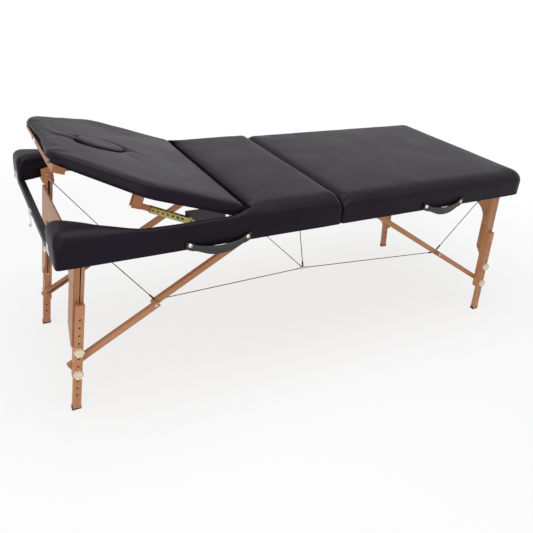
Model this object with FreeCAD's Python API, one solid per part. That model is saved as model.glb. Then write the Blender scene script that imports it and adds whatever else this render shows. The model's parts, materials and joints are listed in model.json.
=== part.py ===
"""Folding massage table: three padded sections on a wooden frame with cable-braced folding legs.

Frame: millimetres, origin on the floor below the fold at mid-width, +X to the foot end,
+Z up. "Near" pieces lie on the -Y side. The table stands open with its backrest raised.
"""
import FreeCAD
import Part
import math
import os

# Driving sizes of the bed
HALF_LENGTH = 930.0
WIDTH = 760.0
RIM_Z = 592.0
PAD_TOP_Z = 690.0
CROWN = 4.0
PAD_ROLL = 36.0
COVER = 6.0
RIM_DRAW_IN = 3.0
FOOT_CORNER_R = 65.0
TIGHT_CORNER_R = 16.0
RAIL_T = 12.0
RAIL_H = 56.0
DECK_T = 6.0
FOLD_GAP = 1.0
FOLD_DROP = 1.0

# Arms and head rail
ARM_NARROW_W = 24.0
ARM_HEAD_W = 130.0
ARM_TAPER_LENGTH = 240.0
ARM_CROWN_NARROW = 674.0
ARM_CROWN_HEAD = 696.0
ARM_RISE_POWER = 0.6
ARM_FLAP = 4.0
ARM_ROLL_R = 32.0
ARM_ROLL_SHARE = 0.45
HEAD_RAIL_H = 20.0
HEAD_RAIL_COVER = 3.0
ARM_FLAP_Z = RIM_Z + HEAD_RAIL_H + 1.0

# Backrest, drawn flat and then raised
BACK_PIVOT_X = -344.0
BACK_Z = 646.0
BACK_ANGLE = 18.2
BACK_GAP = 6.0
BACK_SIDE_GAP = 8.0
BACK_HEAD_HALF_W = 190.0
BACK_TAPER_LENGTH = 246.0
BACK_BOARD_T = 8.0
BACK_PAD_T = 36.0
BACK_ROLL = 14.0
BACK_LEAN = 18.0
BACK_HEAD_R = 70.0
BACK_BEND_R = 130.0
BOARD_INSET = 6.0
BATTEN_H = 20.0
BATTEN_W = 34.0
HEAD_BATTEN_H = 32.0
HEAD_BATTEN_INSET = 66.0
HEAD_BATTEN_W = 36.0
HEAD_BATTEN_HALF = 170.0
PLUG_INSET = 196.0
PLUG_LENGTH = 150.0
PLUG_WIDTH = 104.0
PLUG_GAP = 0.6
PLUG_PROUD = 3.0
SOCKET_PITCH = 220.0
SOCKET_BORE = 10.0
SOCKET_WALL = 3.0
SOCKET_DEPTH = 30.0
SOCKET_FLANGE_T = 2.0

# Prop struts of the backrest
STRUT_INSET = 198.0
STRUT_PIVOT_RUN = 171.3
STRUT_PIVOT_Z = 587.0
PROP_BEFORE_BEND = 42.7
PROP_DROP = 75.6
BAR_W = 14.0
BAR_H = 16.0
BAR_LENGTH = 122.0
CHANNEL_LENGTH = 150.0
CHANNEL_WALL = 2.0
CHANNEL_PLAY = 1.0
CHANNEL_SLOT_PITCH = 18.0
CHANNEL_SLOT_LENGTH = 8.0
CHANNEL_SLOT_H = 6.0
PLATE_T = 3.0
PLATE_BELOW = 11.2
PLATE_ABOVE = 30.0
PLATE_NOSE = 12.8
FORK_T = 3.0
FORK_PLAY = 1.0
FORK_BELOW = 9.6
STRUT_PIN_R = 3.0
RUNNING_CLEARANCE = 0.05
FRONT_BATTEN_T = 24.0
FRONT_BATTEN_H = 56.0
FRONT_BATTEN_OVERHANG = 21.0

# Legs and braces
BAR_T = 17.0
BAR_GAP = 0.5
LEG_W = 27.0
LEG_RAIL_GAP = 17.0
HEAD_LEG_INSET = 70.5
HEAD_FLOOR_INSET = 31.0
FOOT_FLOOR_INSET = 24.0
HEAD_SPLAY = 0.107
FOOT_SPLAY = 0.113
LEG_PIVOT_H = 26.0
BRACE_PIVOT_H = 43.0
LOWER_LEG_TOP_Z = 402.0
UPPER_LEG_END_Z = 122.0
HOLE_COUNT = 11
HOLE_PITCH = 29.0
TOP_HOLE_Z = 350.0
LEG_HOLE_R = 3.6
KNOB_HOLES = (4, 7)
KNOB_BOLT_R = 3.0
KNOB_R = 15.5
KNOB_CORE_R = 12.1
KNOB_LOBE_R = 4.65
KNOB_LOBES = 6
KNOB_T = 12.5
KNOB_GAP = 0.4
RUBBER_H = 14.0
RUBBER_WALL = 1.5
RUBBER_SOLE = 5.6
HEAD_BRACE_TOP_X = -56.0
FOOT_BRACE_TOP_X = 100.0
HEAD_BRACE_LOW_Z = 164.0
FOOT_BRACE_LOW_Z = 156.0
BRACE_W = 20.0
BRACE_TAIL = 25.0
BRACE_END = 12.0
PIVOT_BOLT_R = 4.0
BOLT_HEAD_R = 7.0
BOLT_HEAD_T = 6.0
PANEL_T = 6.0
PANEL_TOP = 30.0
PANEL_CROSS = 90.0
PANEL_FOOT = 380.0
PANEL_STRIP = 44.0
PANEL_ARCH_R = 60.0
BLOCK_H = 46.0
BLOCK_W = 40.0

# Hinges, handles and catches
HINGE_INSET = 120.0
HINGE_LENGTH = 60.0
HINGE_LEAF = 30.0
HINGE_LEAF_T = 2.0
KNUCKLE_R = 4.0
HINGE_PIN_R = 1.6
HINGE_PLAY = 0.4
OUTER_SHARES = ((0.0, 0.295), (0.705, 1.0))
INNER_SHARES = ((0.305, 0.695),)
HANDLE_Z = 608.0
HANDLE_DROP = 24.0
HANDLE_W = 22.0
HANDLE_T = 7.0
HANDLE_REACH = 12.0
HANDLE_END_SHARE = 0.75
HANDLE_SPANS = {"head": (-564.0, -351.0), "foot": (367.0, 565.0)}
SCREW_CUP_R = 7.0
SCREW_CUP_INSET = 12.0
CATCH_INSET = 88.0
CATCH_Z = 618.0
CATCH_W = 24.0
CATCH_H = 34.0
SHEET_T = 2.0
LATCH_W = 22.0
LATCH_LENGTH = 46.0
RAIL_LATCH_BASE = 17.0
RAIL_LATCH_DROP = 2.0
LATCH_EAR = 9.0
LATCH_PIN_R = 2.0
LATCH_PIN_DROP = 6.0
LATCH_PIN_INSET = 3.0
LATCH_EAR_H = 14.0
LATCH_TIP = 6.0
LATCH_PLAY = 0.5
LATCH_COLLAR_R = 3.5
LATCH_LEVER_GAP = 2.0

# Cables
CABLE_R = 1.5
CABLE_HEIGHT = 318.0
JUNCTION = (-8.0, 326.0)
JUNCTION_RING_R = 5.0
HANGER_TOP_X = -75.0
CABLE_STAND_OFF = 5.0

# Worked-out places
HALF_W = WIDTH / 2
DECK_Z = RIM_Z + RAIL_H
FOAM_Z = DECK_Z + DECK_T
RAIL_OUT = HALF_W - COVER
RAIL_IN = RAIL_OUT - RAIL_T
FOLD_Z = RIM_Z - FOLD_DROP
END_X = HALF_LENGTH - COVER
FOLD_RAIL_X = FOLD_GAP + COVER + 1.0
SEAT_FRONT_X = BACK_PIVOT_X + 2 * KNUCKLE_R
BACK_HINGE_X = BACK_PIVOT_X - BACK_GAP
BACK_HEAD_X = -HALF_LENGTH
BOARD_TOP_Z = BACK_Z + BACK_BOARD_T
BACK_TOP_Z = BOARD_TOP_Z + BACK_PAD_T
BACK_PIVOT = FreeCAD.Vector(BACK_PIVOT_X, 0, BACK_Z)
ARM_INNER_NARROW = HALF_W - ARM_NARROW_W
ARM_TAPER_START = HALF_LENGTH - ARM_TAPER_LENGTH
BACK_HALF_W = ARM_INNER_NARROW - BACK_SIDE_GAP
BACK_LENGTH = HALF_LENGTH + BACK_PIVOT_X
BACK_BEND = BACK_LENGTH - BACK_TAPER_LENGTH
HEAD_BATTEN_S = BACK_LENGTH - HEAD_BATTEN_INSET
PLUG_S = BACK_LENGTH - PLUG_INSET
PROP_S = BACK_BEND - PROP_BEFORE_BEND
STRUT_PIVOT_X = BACK_PIVOT_X - PROP_S + STRUT_PIVOT_RUN
STRUT_Y = HALF_W - STRUT_INSET
FRONT_BATTEN_HALF = STRUT_Y + FRONT_BATTEN_OVERHANG
FOOT_LEG_OUTER_Y = RAIL_IN - LEG_RAIL_GAP
HEAD_LEG_OUTER_Y = FOOT_LEG_OUTER_Y - HEAD_LEG_INSET
HEAD_FLOOR_X = HEAD_FLOOR_INSET - HALF_LENGTH
FOOT_FLOOR_X = HALF_LENGTH - FOOT_FLOOR_INSET
HINGE_Y = HALF_W - HINGE_INSET
CATCH_Y = HALF_W - CATCH_INSET
Y_AXIS = FreeCAD.Vector(0, 1, 0)


def vec(x, y, z):
    return FreeCAD.Vector(x, y, z)


def box(x0, x1, y0, y1, z0, z1):
    """A box between two corners."""
    return Part.makeBox(x1 - x0, y1 - y0, z1 - z0, vec(x0, y0, z0))


def rod_y(x, z, radius, y0, y1):
    """A round bar along Y."""
    return Part.makeCylinder(radius, y1 - y0, vec(x, y0, z), Y_AXIS)


def mirrored(shape):
    """The same piece on the other side of the table."""
    return shape.mirror(vec(0, 0, 0), Y_AXIS)


def pair(shape):
    return [shape, mirrored(shape)]


def export(name, solids):
    """Write one node, which holds one or more separate solids."""
    shape = solids[0] if len(solids) == 1 else Part.makeCompound(solids)
    shape.exportStep(f"parts/{name}.step")


def rounded_wire(corners, z, inset=0.0):
    """A closed wire with rounded corners at height z, moved inwards by inset.

    Args:
        corners: (x, y, radius) for each corner, anticlockwise from above.
        z: height of the wire.
        inset: how far every side moves inwards.
    """
    count = len(corners)
    points = [FreeCAD.Vector(x, y, 0) for x, y, _ in corners]
    sides = []
    for i in range(count):
        along = (points[(i + 1) % count] - points[i]).normalize()
        inward = vec(-along.y, along.x, 0)
        sides.append((points[i] + inward * inset, along))
    arcs = []
    for i in range(count):
        (p, d), (q, e) = sides[i - 1], sides[i]
        cross = d.x * e.y - d.y * e.x
        reach = ((q.x - p.x) * e.y - (q.y - p.y) * e.x) / cross
        corner = p + d * reach
        radius = max(corners[i][2] - math.copysign(inset, cross), 1.0)
        turn = math.acos(max(-1.0, min(1.0, d.dot(e))))
        back = radius * math.tan(turn / 2)
        start, end = corner - d * back, corner + e * back
        middle = (e - d).normalize()
        bulge = radius / math.cos(turn / 2) - radius
        arcs.append((start, corner + middle * bulge, end))
    edges = []
    for i in range(count):
        start, middle, end = (v + vec(0, 0, z) for v in arcs[i])
        following = arcs[(i + 1) % count][0] + vec(0, 0, z)
        edges.append(Part.Arc(start, middle, end).toShape())
        edges.append(Part.makeLine(end, following))
    return Part.Wire(edges)


def prism(corners, z0, z1, inset=0.0):
    """An upright solid on a rounded outline."""
    face = Part.Face(rounded_wire(corners, z0, inset))
    return face.extrude(vec(0, 0, z1 - z0))


def pillow(corner_rule, levels):
    """A padded form: a loft through one outline at each (height, inset) level."""
    wires = [rounded_wire(corner_rule(z), z, inset) for z, inset in levels]
    return Part.makeLoft(wires, True, True)


def roll_levels(top_z, radius, crown, crown_run):
    """Levels of a soft top edge that rolls over and rises to a crown."""
    steps = 4
    levels = []
    for k in range(steps + 1):
        angle = math.pi / 2 * k / steps
        level_z = top_z - crown - radius * (1 - math.sin(angle))
        levels.append((level_z, radius * (1 - math.cos(angle))))
    levels.append((top_z, radius + crown_run))
    return levels


def bed_levels():
    """Levels of a bed pad: drawn in at the rim, upright sides, rolled top."""
    draw_in_z = RIM_Z + RIM_DRAW_IN * COVER
    return [(RIM_Z, RIM_DRAW_IN), (draw_in_z, 0.0)] + roll_levels(PAD_TOP_Z, PAD_ROLL, CROWN, 2 * PAD_ROLL)


def rectangle(x0, x1, half_width, r0, r1):
    """Corners of a rounded rectangle with one radius for each end."""
    return [(x0, -half_width, r0), (x1, -half_width, r1), (x1, half_width, r1), (x0, half_width, r0)]


FOOT_OUTLINE = rectangle(FOLD_GAP, HALF_LENGTH, HALF_W, TIGHT_CORNER_R, FOOT_CORNER_R)
FOOT_DECK_OUTLINE = rectangle(FOLD_RAIL_X, END_X, RAIL_OUT, TIGHT_CORNER_R - COVER, FOOT_CORNER_R - COVER)
SEAT_OUTLINE = rectangle(SEAT_FRONT_X, -FOLD_GAP, HALF_W, 2.0, TIGHT_CORNER_R)


def arm_share(x):
    """How far along its taper an arm is at x, from 0 by the seat to 1 at the head."""
    share = (-x - ARM_TAPER_START) / ARM_TAPER_LENGTH
    return max(0.0, min(1.0, share))


def arm_inner(x):
    """Distance of an arm's inner face from mid-width: narrow by the seat, wide at the head."""
    t = arm_share(x)
    return ARM_INNER_NARROW - (ARM_HEAD_W - ARM_NARROW_W) * (3 - 2 * t) * t * t


def arm_crown(x):
    """Height of an arm's crown: low where the arm is narrow, full at the head."""
    return ARM_CROWN_NARROW + (ARM_CROWN_HEAD - ARM_CROWN_NARROW) * arm_share(x) ** ARM_RISE_POWER


def arm_stations():
    return [SEAT_FRONT_X] + [-ARM_TAPER_START - k * ARM_TAPER_LENGTH / 8 for k in range(9)]


def head_deck_shape(z0, z1):
    """The head half's U-shaped board between two heights."""
    inner = [(x, arm_inner(x) + ARM_FLAP) for x in arm_stations()]
    inner[-1] = (-END_X, inner[-1][1])
    near = [vec(x, -y, z0) for x, y in inner]
    far = [vec(x, y, z0) for x, y in reversed(inner)]
    outer = [vec(-END_X, RAIL_OUT, z0), vec(-FOLD_RAIL_X, RAIL_OUT, z0)]
    outer += [vec(-FOLD_RAIL_X, -RAIL_OUT, z0), vec(-END_X, -RAIL_OUT, z0)]
    loop = outer + list(reversed(near)) + list(reversed(far))
    return Part.Face(Part.makePolygon(loop + [loop[0]])).extrude(vec(0, 0, z1 - z0))


def arm_section(x, inset=0.0):
    """Cross-section of the far arm's cover at one station."""
    outer, inner = HALF_W - inset, arm_inner(x) + inset
    crown = arm_crown(x) - inset
    roll = min(ARM_ROLL_R, (outer - inner) * ARM_ROLL_SHARE)
    bend = roll * (1 - math.sqrt(0.5))
    p = [
        vec(x, RAIL_OUT, RIM_Z), vec(x, outer, RIM_Z),
        vec(x, outer, crown - roll), vec(x, outer - roll, crown),
        vec(x, inner + roll, crown), vec(x, inner, crown - roll),
        vec(x, inner, ARM_FLAP_Z), vec(x, RAIL_OUT, ARM_FLAP_Z),
    ]
    outer_arc = Part.Arc(p[2], vec(x, outer - bend, crown - bend), p[3]).toShape()
    inner_arc = Part.Arc(p[4], vec(x, inner + bend, crown - bend), p[5]).toShape()
    edges = [
        Part.makeLine(p[0], p[1]), Part.makeLine(p[1], p[2]), outer_arc, Part.makeLine(p[3], p[4]), inner_arc,
        Part.makeLine(p[5], p[6]), Part.makeLine(p[6], p[7]), Part.makeLine(p[7], p[0]),
    ]
    return Part.Wire(edges)


def arm_pads():
    """Both padded arms, each wrapped over the deck and down the outer side."""
    stations = arm_stations()
    wires = [arm_section(x) for x in stations[:-1]]
    wires.append(arm_section(-HALF_LENGTH + RIM_DRAW_IN, 1.0))
    wires.append(arm_section(-HALF_LENGTH, RIM_DRAW_IN + 1.0))
    arm = Part.makeLoft(wires, True, True)
    arm = arm.cut(head_deck_shape(RIM_Z - COVER, FOAM_Z))
    return pair(arm.cut(HEAD.block(HEAD.pivot, HEAD.upper_y)))


def seat_pad():
    pad = pillow(lambda z: SEAT_OUTLINE, bed_levels())
    pad = pad.cut(head_deck_shape(RIM_Z - COVER, FOAM_Z))
    pad = pad.cut(box(SEAT_FRONT_X - 1, SEAT_FRONT_X + COVER, -RAIL_IN, RAIL_IN, RIM_Z - COVER, DECK_Z))
    return pad.cut(hinge_notches(-1))


def foot_pad():
    pad = pillow(lambda z: FOOT_OUTLINE, bed_levels())
    pad = pad.cut(prism(FOOT_DECK_OUTLINE, RIM_Z - COVER, FOAM_Z))
    return pad.cut(hinge_notches(1))


def hinge_notches(side):
    """Room for the fold hinges in the cover and rail on one side of the fold."""
    inner, outer = sorted((0.0, side * (FOLD_RAIL_X + 0.01)))
    depth = RIM_Z + 3 * KNUCKLE_R
    half = HINGE_LENGTH / 2 + 1
    return Part.makeCompound(pair(box(inner, outer, HINGE_Y - half, HINGE_Y + half, RIM_Z - COVER, depth)))


def hinge_leaf_seats(side):
    """Shallow seats for the fold hinges' leaves under a fold rail."""
    inner, outer = sorted((side * FOLD_RAIL_X, side * (FOLD_RAIL_X + HINGE_LEAF)))
    half = HINGE_LENGTH / 2
    seat = box(inner, outer, HINGE_Y - half, HINGE_Y + half, RIM_Z - COVER, RIM_Z + HINGE_LEAF_T)
    return Part.makeCompound(pair(seat))


def head_side_rails():
    rail = box(-END_X, -FOLD_RAIL_X, RAIL_IN, RAIL_OUT, RIM_Z, DECK_Z)
    return pair(rail)


def head_cross_rails():
    end = box(-END_X, -END_X + RAIL_T, -RAIL_IN, RAIL_IN, RIM_Z, RIM_Z + HEAD_RAIL_H)
    fold = box(-FOLD_RAIL_X - 2 * RAIL_T, -FOLD_RAIL_X, -RAIL_IN, RAIL_IN, RIM_Z, DECK_Z)
    return [end, fold.cut(hinge_leaf_seats(-1))]


def foot_ring():
    """The foot half's rail ring, rounded at the foot corners."""
    outer = prism(FOOT_DECK_OUTLINE, RIM_Z, DECK_Z)
    return outer.cut(prism(FOOT_DECK_OUTLINE, RIM_Z, DECK_Z, RAIL_T))


def foot_rails():
    """Side rails, then the fold rail and the end rail with its rounded corners."""
    ring = foot_ring()
    straight_end = END_X - FOOT_CORNER_R
    straight_start = FOLD_RAIL_X + 2 * RAIL_T
    side = ring.common(box(straight_start, straight_end, 0, HALF_W, RIM_Z, DECK_Z))
    end = ring.common(box(straight_end, END_X, -HALF_W, HALF_W, RIM_Z, DECK_Z))
    fold = prism(FOOT_DECK_OUTLINE, RIM_Z, DECK_Z)
    fold = fold.common(box(FOLD_RAIL_X, straight_start, -HALF_W, HALF_W, RIM_Z, DECK_Z))
    return pair(side), [end, fold.cut(hinge_leaf_seats(1))]


def head_rail_cover():
    """Vinyl round the low head rail, between the arms."""
    half = arm_inner(-HALF_LENGTH) - 1.0
    top = RIM_Z + HEAD_RAIL_H + HEAD_RAIL_COVER
    cover = box(-HALF_LENGTH, -END_X + RAIL_T + HEAD_RAIL_COVER, -half, half, RIM_Z, top)
    top_edges = [e for e in cover.Edges if abs(e.BoundBox.ZMin - top) < 0.1 and e.BoundBox.YLength > half]
    cover = cover.makeFillet(HEAD_RAIL_COVER * 1.5, top_edges)
    return cover.cut(box(-END_X, -END_X + RAIL_T, -half, half, RIM_Z - 1, RIM_Z + HEAD_RAIL_H))


class Backrest:
    """Pieces of the lifting backrest, drawn flat and raised about its hinge."""

    def raised(self, shape):
        return shape.rotated(BACK_PIVOT, Y_AXIS, BACK_ANGLE)

    def corners(self, lean=0.0):
        bend_x = BACK_PIVOT_X - BACK_BEND
        hinge_x = BACK_HINGE_X - lean
        return [
            (BACK_HEAD_X, -BACK_HEAD_HALF_W, BACK_HEAD_R), (bend_x, -BACK_HALF_W, BACK_BEND_R),
            (hinge_x, -BACK_HALF_W, TIGHT_CORNER_R), (hinge_x, BACK_HALF_W, TIGHT_CORNER_R),
            (bend_x, BACK_HALF_W, BACK_BEND_R), (BACK_HEAD_X, BACK_HEAD_HALF_W, BACK_HEAD_R),
        ]

    def plug_prism(self, grow, z0, z1):
        """The oval face plug's outline as a solid."""
        long_r, short_r = PLUG_LENGTH / 2 + grow, PLUG_WIDTH / 2 + grow
        oval = Part.Ellipse(vec(BACK_PIVOT_X - PLUG_S, 0, z0), long_r, short_r).toShape()
        return Part.Face(Part.Wire([oval])).extrude(vec(0, 0, z1 - z0))

    def board(self):
        board = prism(self.corners(), BACK_Z, BOARD_TOP_Z, BOARD_INSET)
        return self.raised(board.cut(self.plug_prism(PLUG_GAP, BACK_Z - 1, BOARD_TOP_Z + 1)))

    def pad(self):
        side_z = BOARD_TOP_Z + COVER
        levels = [(BOARD_TOP_Z, RIM_DRAW_IN), (side_z, 0.0)]
        levels += roll_levels(BACK_TOP_Z, BACK_ROLL, CROWN / 2, 2 * BACK_ROLL)
        lean = BACK_LEAN / BACK_PAD_T
        pad = pillow(lambda z: self.corners(lean * (z - BOARD_TOP_Z)), levels)
        return self.raised(pad.cut(self.plug_prism(PLUG_GAP, BOARD_TOP_Z - 1, BACK_TOP_Z + 1)))

    def plug(self):
        top = BACK_TOP_Z + PLUG_PROUD
        plug = self.plug_prism(0.0, BACK_Z, top)
        rim = [e for e in plug.Edges if abs(e.BoundBox.ZMin - top) < 0.1 and e.BoundBox.ZLength < 0.1]
        return self.raised(plug.makeFillet(2 * PLUG_PROUD, rim))

    def battens(self):
        start = BACK_HINGE_X - HINGE_LEAF - BOARD_INSET
        end = BACK_PIVOT_X - HEAD_BATTEN_S
        runner = box(end, start, STRUT_Y - BATTEN_W / 2, STRUT_Y + BATTEN_W / 2, BACK_Z - BATTEN_H, BACK_Z)
        runner = runner.cut(box(end - 1, BACK_PIVOT_X - BACK_BEND, 0, HALF_W, 0, BACK_Z))
        half = HEAD_BATTEN_HALF
        head = box(end - HEAD_BATTEN_W, end, -half, half, BACK_Z - HEAD_BATTEN_H, BACK_Z)
        for y in (-SOCKET_PITCH / 2, SOCKET_PITCH / 2):
            head = head.cut(self.socket_rod(y, SOCKET_BORE / 2 + SOCKET_WALL, SOCKET_DEPTH))
        return [self.raised(piece) for piece in pair(runner) + [head]]

    def socket_rod(self, y, radius, depth):
        """A round bar into the head batten's head face."""
        face_x = BACK_PIVOT_X - HEAD_BATTEN_S - HEAD_BATTEN_W
        place = vec(face_x, y, BACK_Z - HEAD_BATTEN_H / 2)
        return Part.makeCylinder(radius, depth, place, vec(1, 0, 0))

    def sockets(self):
        """Two lined holes for a headrest's pegs."""
        pieces = []
        for y in (-SOCKET_PITCH / 2, SOCKET_PITCH / 2):
            outer_r = SOCKET_BORE / 2 + SOCKET_WALL
            bush = self.socket_rod(y, outer_r, SOCKET_DEPTH)
            flange = self.socket_rod(y, outer_r + SOCKET_FLANGE_T, SOCKET_FLANGE_T)
            flange.translate(vec(-SOCKET_FLANGE_T, 0, 0))
            bore = self.socket_rod(y, SOCKET_BORE / 2, SOCKET_DEPTH + SOCKET_FLANGE_T)
            bore.translate(vec(-SOCKET_FLANGE_T, 0, 0))
            pieces.append(self.raised(bush.fuse(flange).removeSplitter().cut(bore)))
        return pieces

    def catch(self):
        """The hooked plate at mid-width of the head end."""
        back_x = BACK_HEAD_X + BOARD_INSET
        foot = box(back_x - SHEET_T, back_x, -CATCH_W / 2, CATCH_W / 2, BACK_Z, BOARD_TOP_Z)
        return [self.raised(foot)]

    def forks(self):
        """Two cheeks for the end of each prop bar."""
        x = BACK_PIVOT_X - PROP_S
        z = BACK_Z - PROP_DROP
        pieces = []
        half_gap = BAR_W / 2 + FORK_PLAY
        for side in (-1, 1):
            y0, y1 = sorted((STRUT_Y + side * half_gap, STRUT_Y + side * (half_gap + FORK_T)))
            upright = box(x - BAR_H, x + BAR_H, y0, y1, z - FORK_BELOW, BACK_Z - BATTEN_H)
            pieces += pair(upright)
        return [self.raised(piece) for piece in pieces]


BACKREST = Backrest()


class Leg:
    """Geometry of one leg end: pivots in the XZ plane and planes of the bars in Y."""

    def __init__(self, name, floor_x, splay, brace_top_x, brace_low_z, outer_y):
        self.name = name
        self.sign = 1 if floor_x > 0 else -1
        self.floor_x = floor_x
        self.splay = -self.sign * splay
        self.pivot = self.on_leg(RIM_Z + LEG_PIVOT_H)
        self.brace_top = vec(brace_top_x, 0, RIM_Z + BRACE_PIVOT_H)
        self.brace_low = self.on_leg(brace_low_z)
        tilt = math.degrees(math.atan(splay))
        closed_low = self.turned(self.brace_low, self.pivot, self.sign * (90 + tilt))
        open_span = (self.brace_low - self.brace_top).Length
        closed_span = (closed_low - self.brace_top).Length
        self.upper_length = (open_span + closed_span) / 2
        along = (self.brace_low - self.brace_top).normalize()
        self.knee = self.brace_top + along * self.upper_length
        step = BAR_T + BAR_GAP
        self.lower_y = outer_y - BAR_T
        self.upper_y = self.lower_y - step
        self.low_brace_y = self.upper_y - step
        self.top_brace_y = self.low_brace_y - step

    def on_leg(self, z):
        """The leg's centre line at height z."""
        return vec(self.floor_x + self.splay * z, 0, z)

    def turned(self, point, centre, degrees):
        turn = FreeCAD.Rotation(Y_AXIS, degrees)
        return centre + turn.multVec(point - centre)

    def bar(self, start, end, width, y0, before=0.0, after=0.0, round_start=False, round_end=False):
        """A flat bar between two points, in the plane of bars that starts at y0."""
        along = (end - start).normalize()
        across = vec(-along.z, 0, along.x) * (width / 2)
        a, b = start - along * before, end + along * after
        base = vec(0, y0, 0)
        corners = [a + across, b + across, b - across, a - across]
        face = Part.Face(Part.makePolygon([p + base for p in corners + corners[:1]]))
        solid = face.extrude(vec(0, BAR_T, 0))
        if round_start:
            solid = solid.fuse(rod_y(start.x, start.z, width / 2, y0, y0 + BAR_T))
        if round_end:
            solid = solid.fuse(rod_y(end.x, end.z, width / 2, y0, y0 + BAR_T))
        return solid.removeSplitter()

    def hole_points(self):
        return [self.on_leg(TOP_HOLE_Z - k * HOLE_PITCH) for k in range(HOLE_COUNT)]

    def lower_legs(self):
        start, end = self.on_leg(RUBBER_SOLE), self.on_leg(LOWER_LEG_TOP_Z)
        leg = self.bar(start, end, LEG_W, self.lower_y)
        for point in self.hole_points():
            leg = leg.cut(rod_y(point.x, point.z, LEG_HOLE_R, self.lower_y - 1, self.lower_y + BAR_T + 1))
        return pair(leg)

    def rubber_feet(self):
        """Caps with a level sole over the ends of the lower legs."""
        cap = self.bar(self.on_leg(-RUBBER_H), self.on_leg(RUBBER_H), LEG_W + 2 * RUBBER_WALL, self.lower_y)
        cap = cap.cut(box(-HALF_LENGTH * 2, HALF_LENGTH * 2, 0, HALF_W, -HALF_W, 0))
        leg = self.bar(self.on_leg(RUBBER_SOLE), self.on_leg(2 * RUBBER_H), LEG_W, self.lower_y)
        return pair(cap.cut(leg))

    def upper_legs(self):
        leg = self.bar(self.on_leg(UPPER_LEG_END_Z), self.pivot, LEG_W, self.upper_y, round_end=True)
        bores = [(self.pivot, PIVOT_BOLT_R), (self.brace_low, PIVOT_BOLT_R)]
        bores += [(point, KNOB_BOLT_R) for point in self.knob_points()]
        for point, radius in bores:
            bore_r = radius + RUNNING_CLEARANCE
            leg = leg.cut(rod_y(point.x, point.z, bore_r, self.upper_y - 1, self.upper_y + BAR_T + 1))
        return pair(leg)

    def knob_points(self):
        holes = self.hole_points()
        return [holes[k] for k in KNOB_HOLES]

    def knob(self, point):
        """A lobed hand knob on its clamping bolt, on the far side."""
        face_y = self.lower_y + BAR_T + KNOB_GAP
        core = rod_y(point.x, point.z, KNOB_CORE_R, face_y, face_y + KNOB_T)
        for k in range(KNOB_LOBES):
            angle = 2 * math.pi * k / KNOB_LOBES
            x = point.x + (KNOB_R - KNOB_LOBE_R) * math.cos(angle)
            z = point.z + (KNOB_R - KNOB_LOBE_R) * math.sin(angle)
            core = core.fuse(rod_y(x, z, KNOB_LOBE_R, face_y, face_y + KNOB_T))
        bolt = rod_y(point.x, point.z, KNOB_BOLT_R, self.upper_y + 1, face_y)
        return core.fuse(bolt).removeSplitter()

    def end_panel(self):
        """Arched board on the outer faces of the upper legs."""
        half = self.upper_y + BAR_T
        inner = self.upper_y - PANEL_STRIP
        cross = PANEL_TOP + PANEL_CROSS
        arch = PANEL_ARCH_R
        arc_mid = arch * (1 - math.sqrt(0.5))
        far = [(half, PANEL_TOP), (half, PANEL_FOOT), (self.upper_y, PANEL_FOOT), (inner, PANEL_FOOT - arch)]
        far += [(inner, cross + arch)]
        down = (self.on_leg(0) - self.pivot).normalize()
        out = vec(-down.z, 0, down.x) * self.sign

        def place(y, u):
            return self.pivot + down * u + out * (LEG_W / 2) + vec(0, y, 0)

        points = [place(y, u) for y, u in far]
        mirror_points = [place(-y, u) for y, u in far]
        arch_far, arch_near = place(inner - arch, cross), place(arch - inner, cross)
        arc_far = Part.Arc(points[-1], place(inner - arc_mid, cross + arc_mid), arch_far)
        arc_near = Part.Arc(arch_near, place(arc_mid - inner, cross + arc_mid), mirror_points[-1])
        edges = [Part.makeLine(a, b) for a, b in zip(points, points[1:])]
        edges += [arc_far.toShape(), Part.makeLine(arch_far, arch_near), arc_near.toShape()]
        edges += [Part.makeLine(a, b) for a, b in zip(mirror_points[::-1], mirror_points[-2::-1])]
        edges += [Part.makeLine(mirror_points[0], points[0])]
        return Part.Face(Part.Wire(edges)).extrude(out * PANEL_T)

    def upper_braces(self):
        """Top links of the braces, with a hole for the bolt at the frame."""
        top, y0 = self.brace_top, self.top_brace_y
        brace = self.bar(top, self.knee, BRACE_W, y0, round_start=True, round_end=True)
        bore_r = PIVOT_BOLT_R + RUNNING_CLEARANCE
        return pair(brace.cut(rod_y(top.x, top.z, bore_r, y0 - 1, y0 + BAR_T + 1)))

    def lower_braces(self):
        """Bottom links with their leg bolts and a knee stud, which stays within the link."""
        y0, y1 = self.low_brace_y, self.low_brace_y + BAR_T
        brace = self.bar(self.brace_low, self.knee, BRACE_W, y0, BRACE_TAIL, BRACE_END)
        bolt = rod_y(self.brace_low.x, self.brace_low.z, PIVOT_BOLT_R, y0, self.upper_y + BAR_T)
        stud = rod_y(self.knee.x, self.knee.z, PIVOT_BOLT_R, y0, y1 + BAR_GAP)
        brace = brace.cut(bolt).cut(stud)
        return pair(brace) + pair(bolt) + pair(stud)

    def block(self, point, bar_y):
        """A block from the side rail to the bar that turns at a point."""
        z0 = point.z - BLOCK_H / 2
        z1 = min(point.z + BLOCK_H / 2, DECK_Z)
        y0 = bar_y + BAR_T + BAR_GAP
        return box(point.x - BLOCK_W / 2, point.x + BLOCK_W / 2, y0, RAIL_IN, z0, z1)

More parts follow.
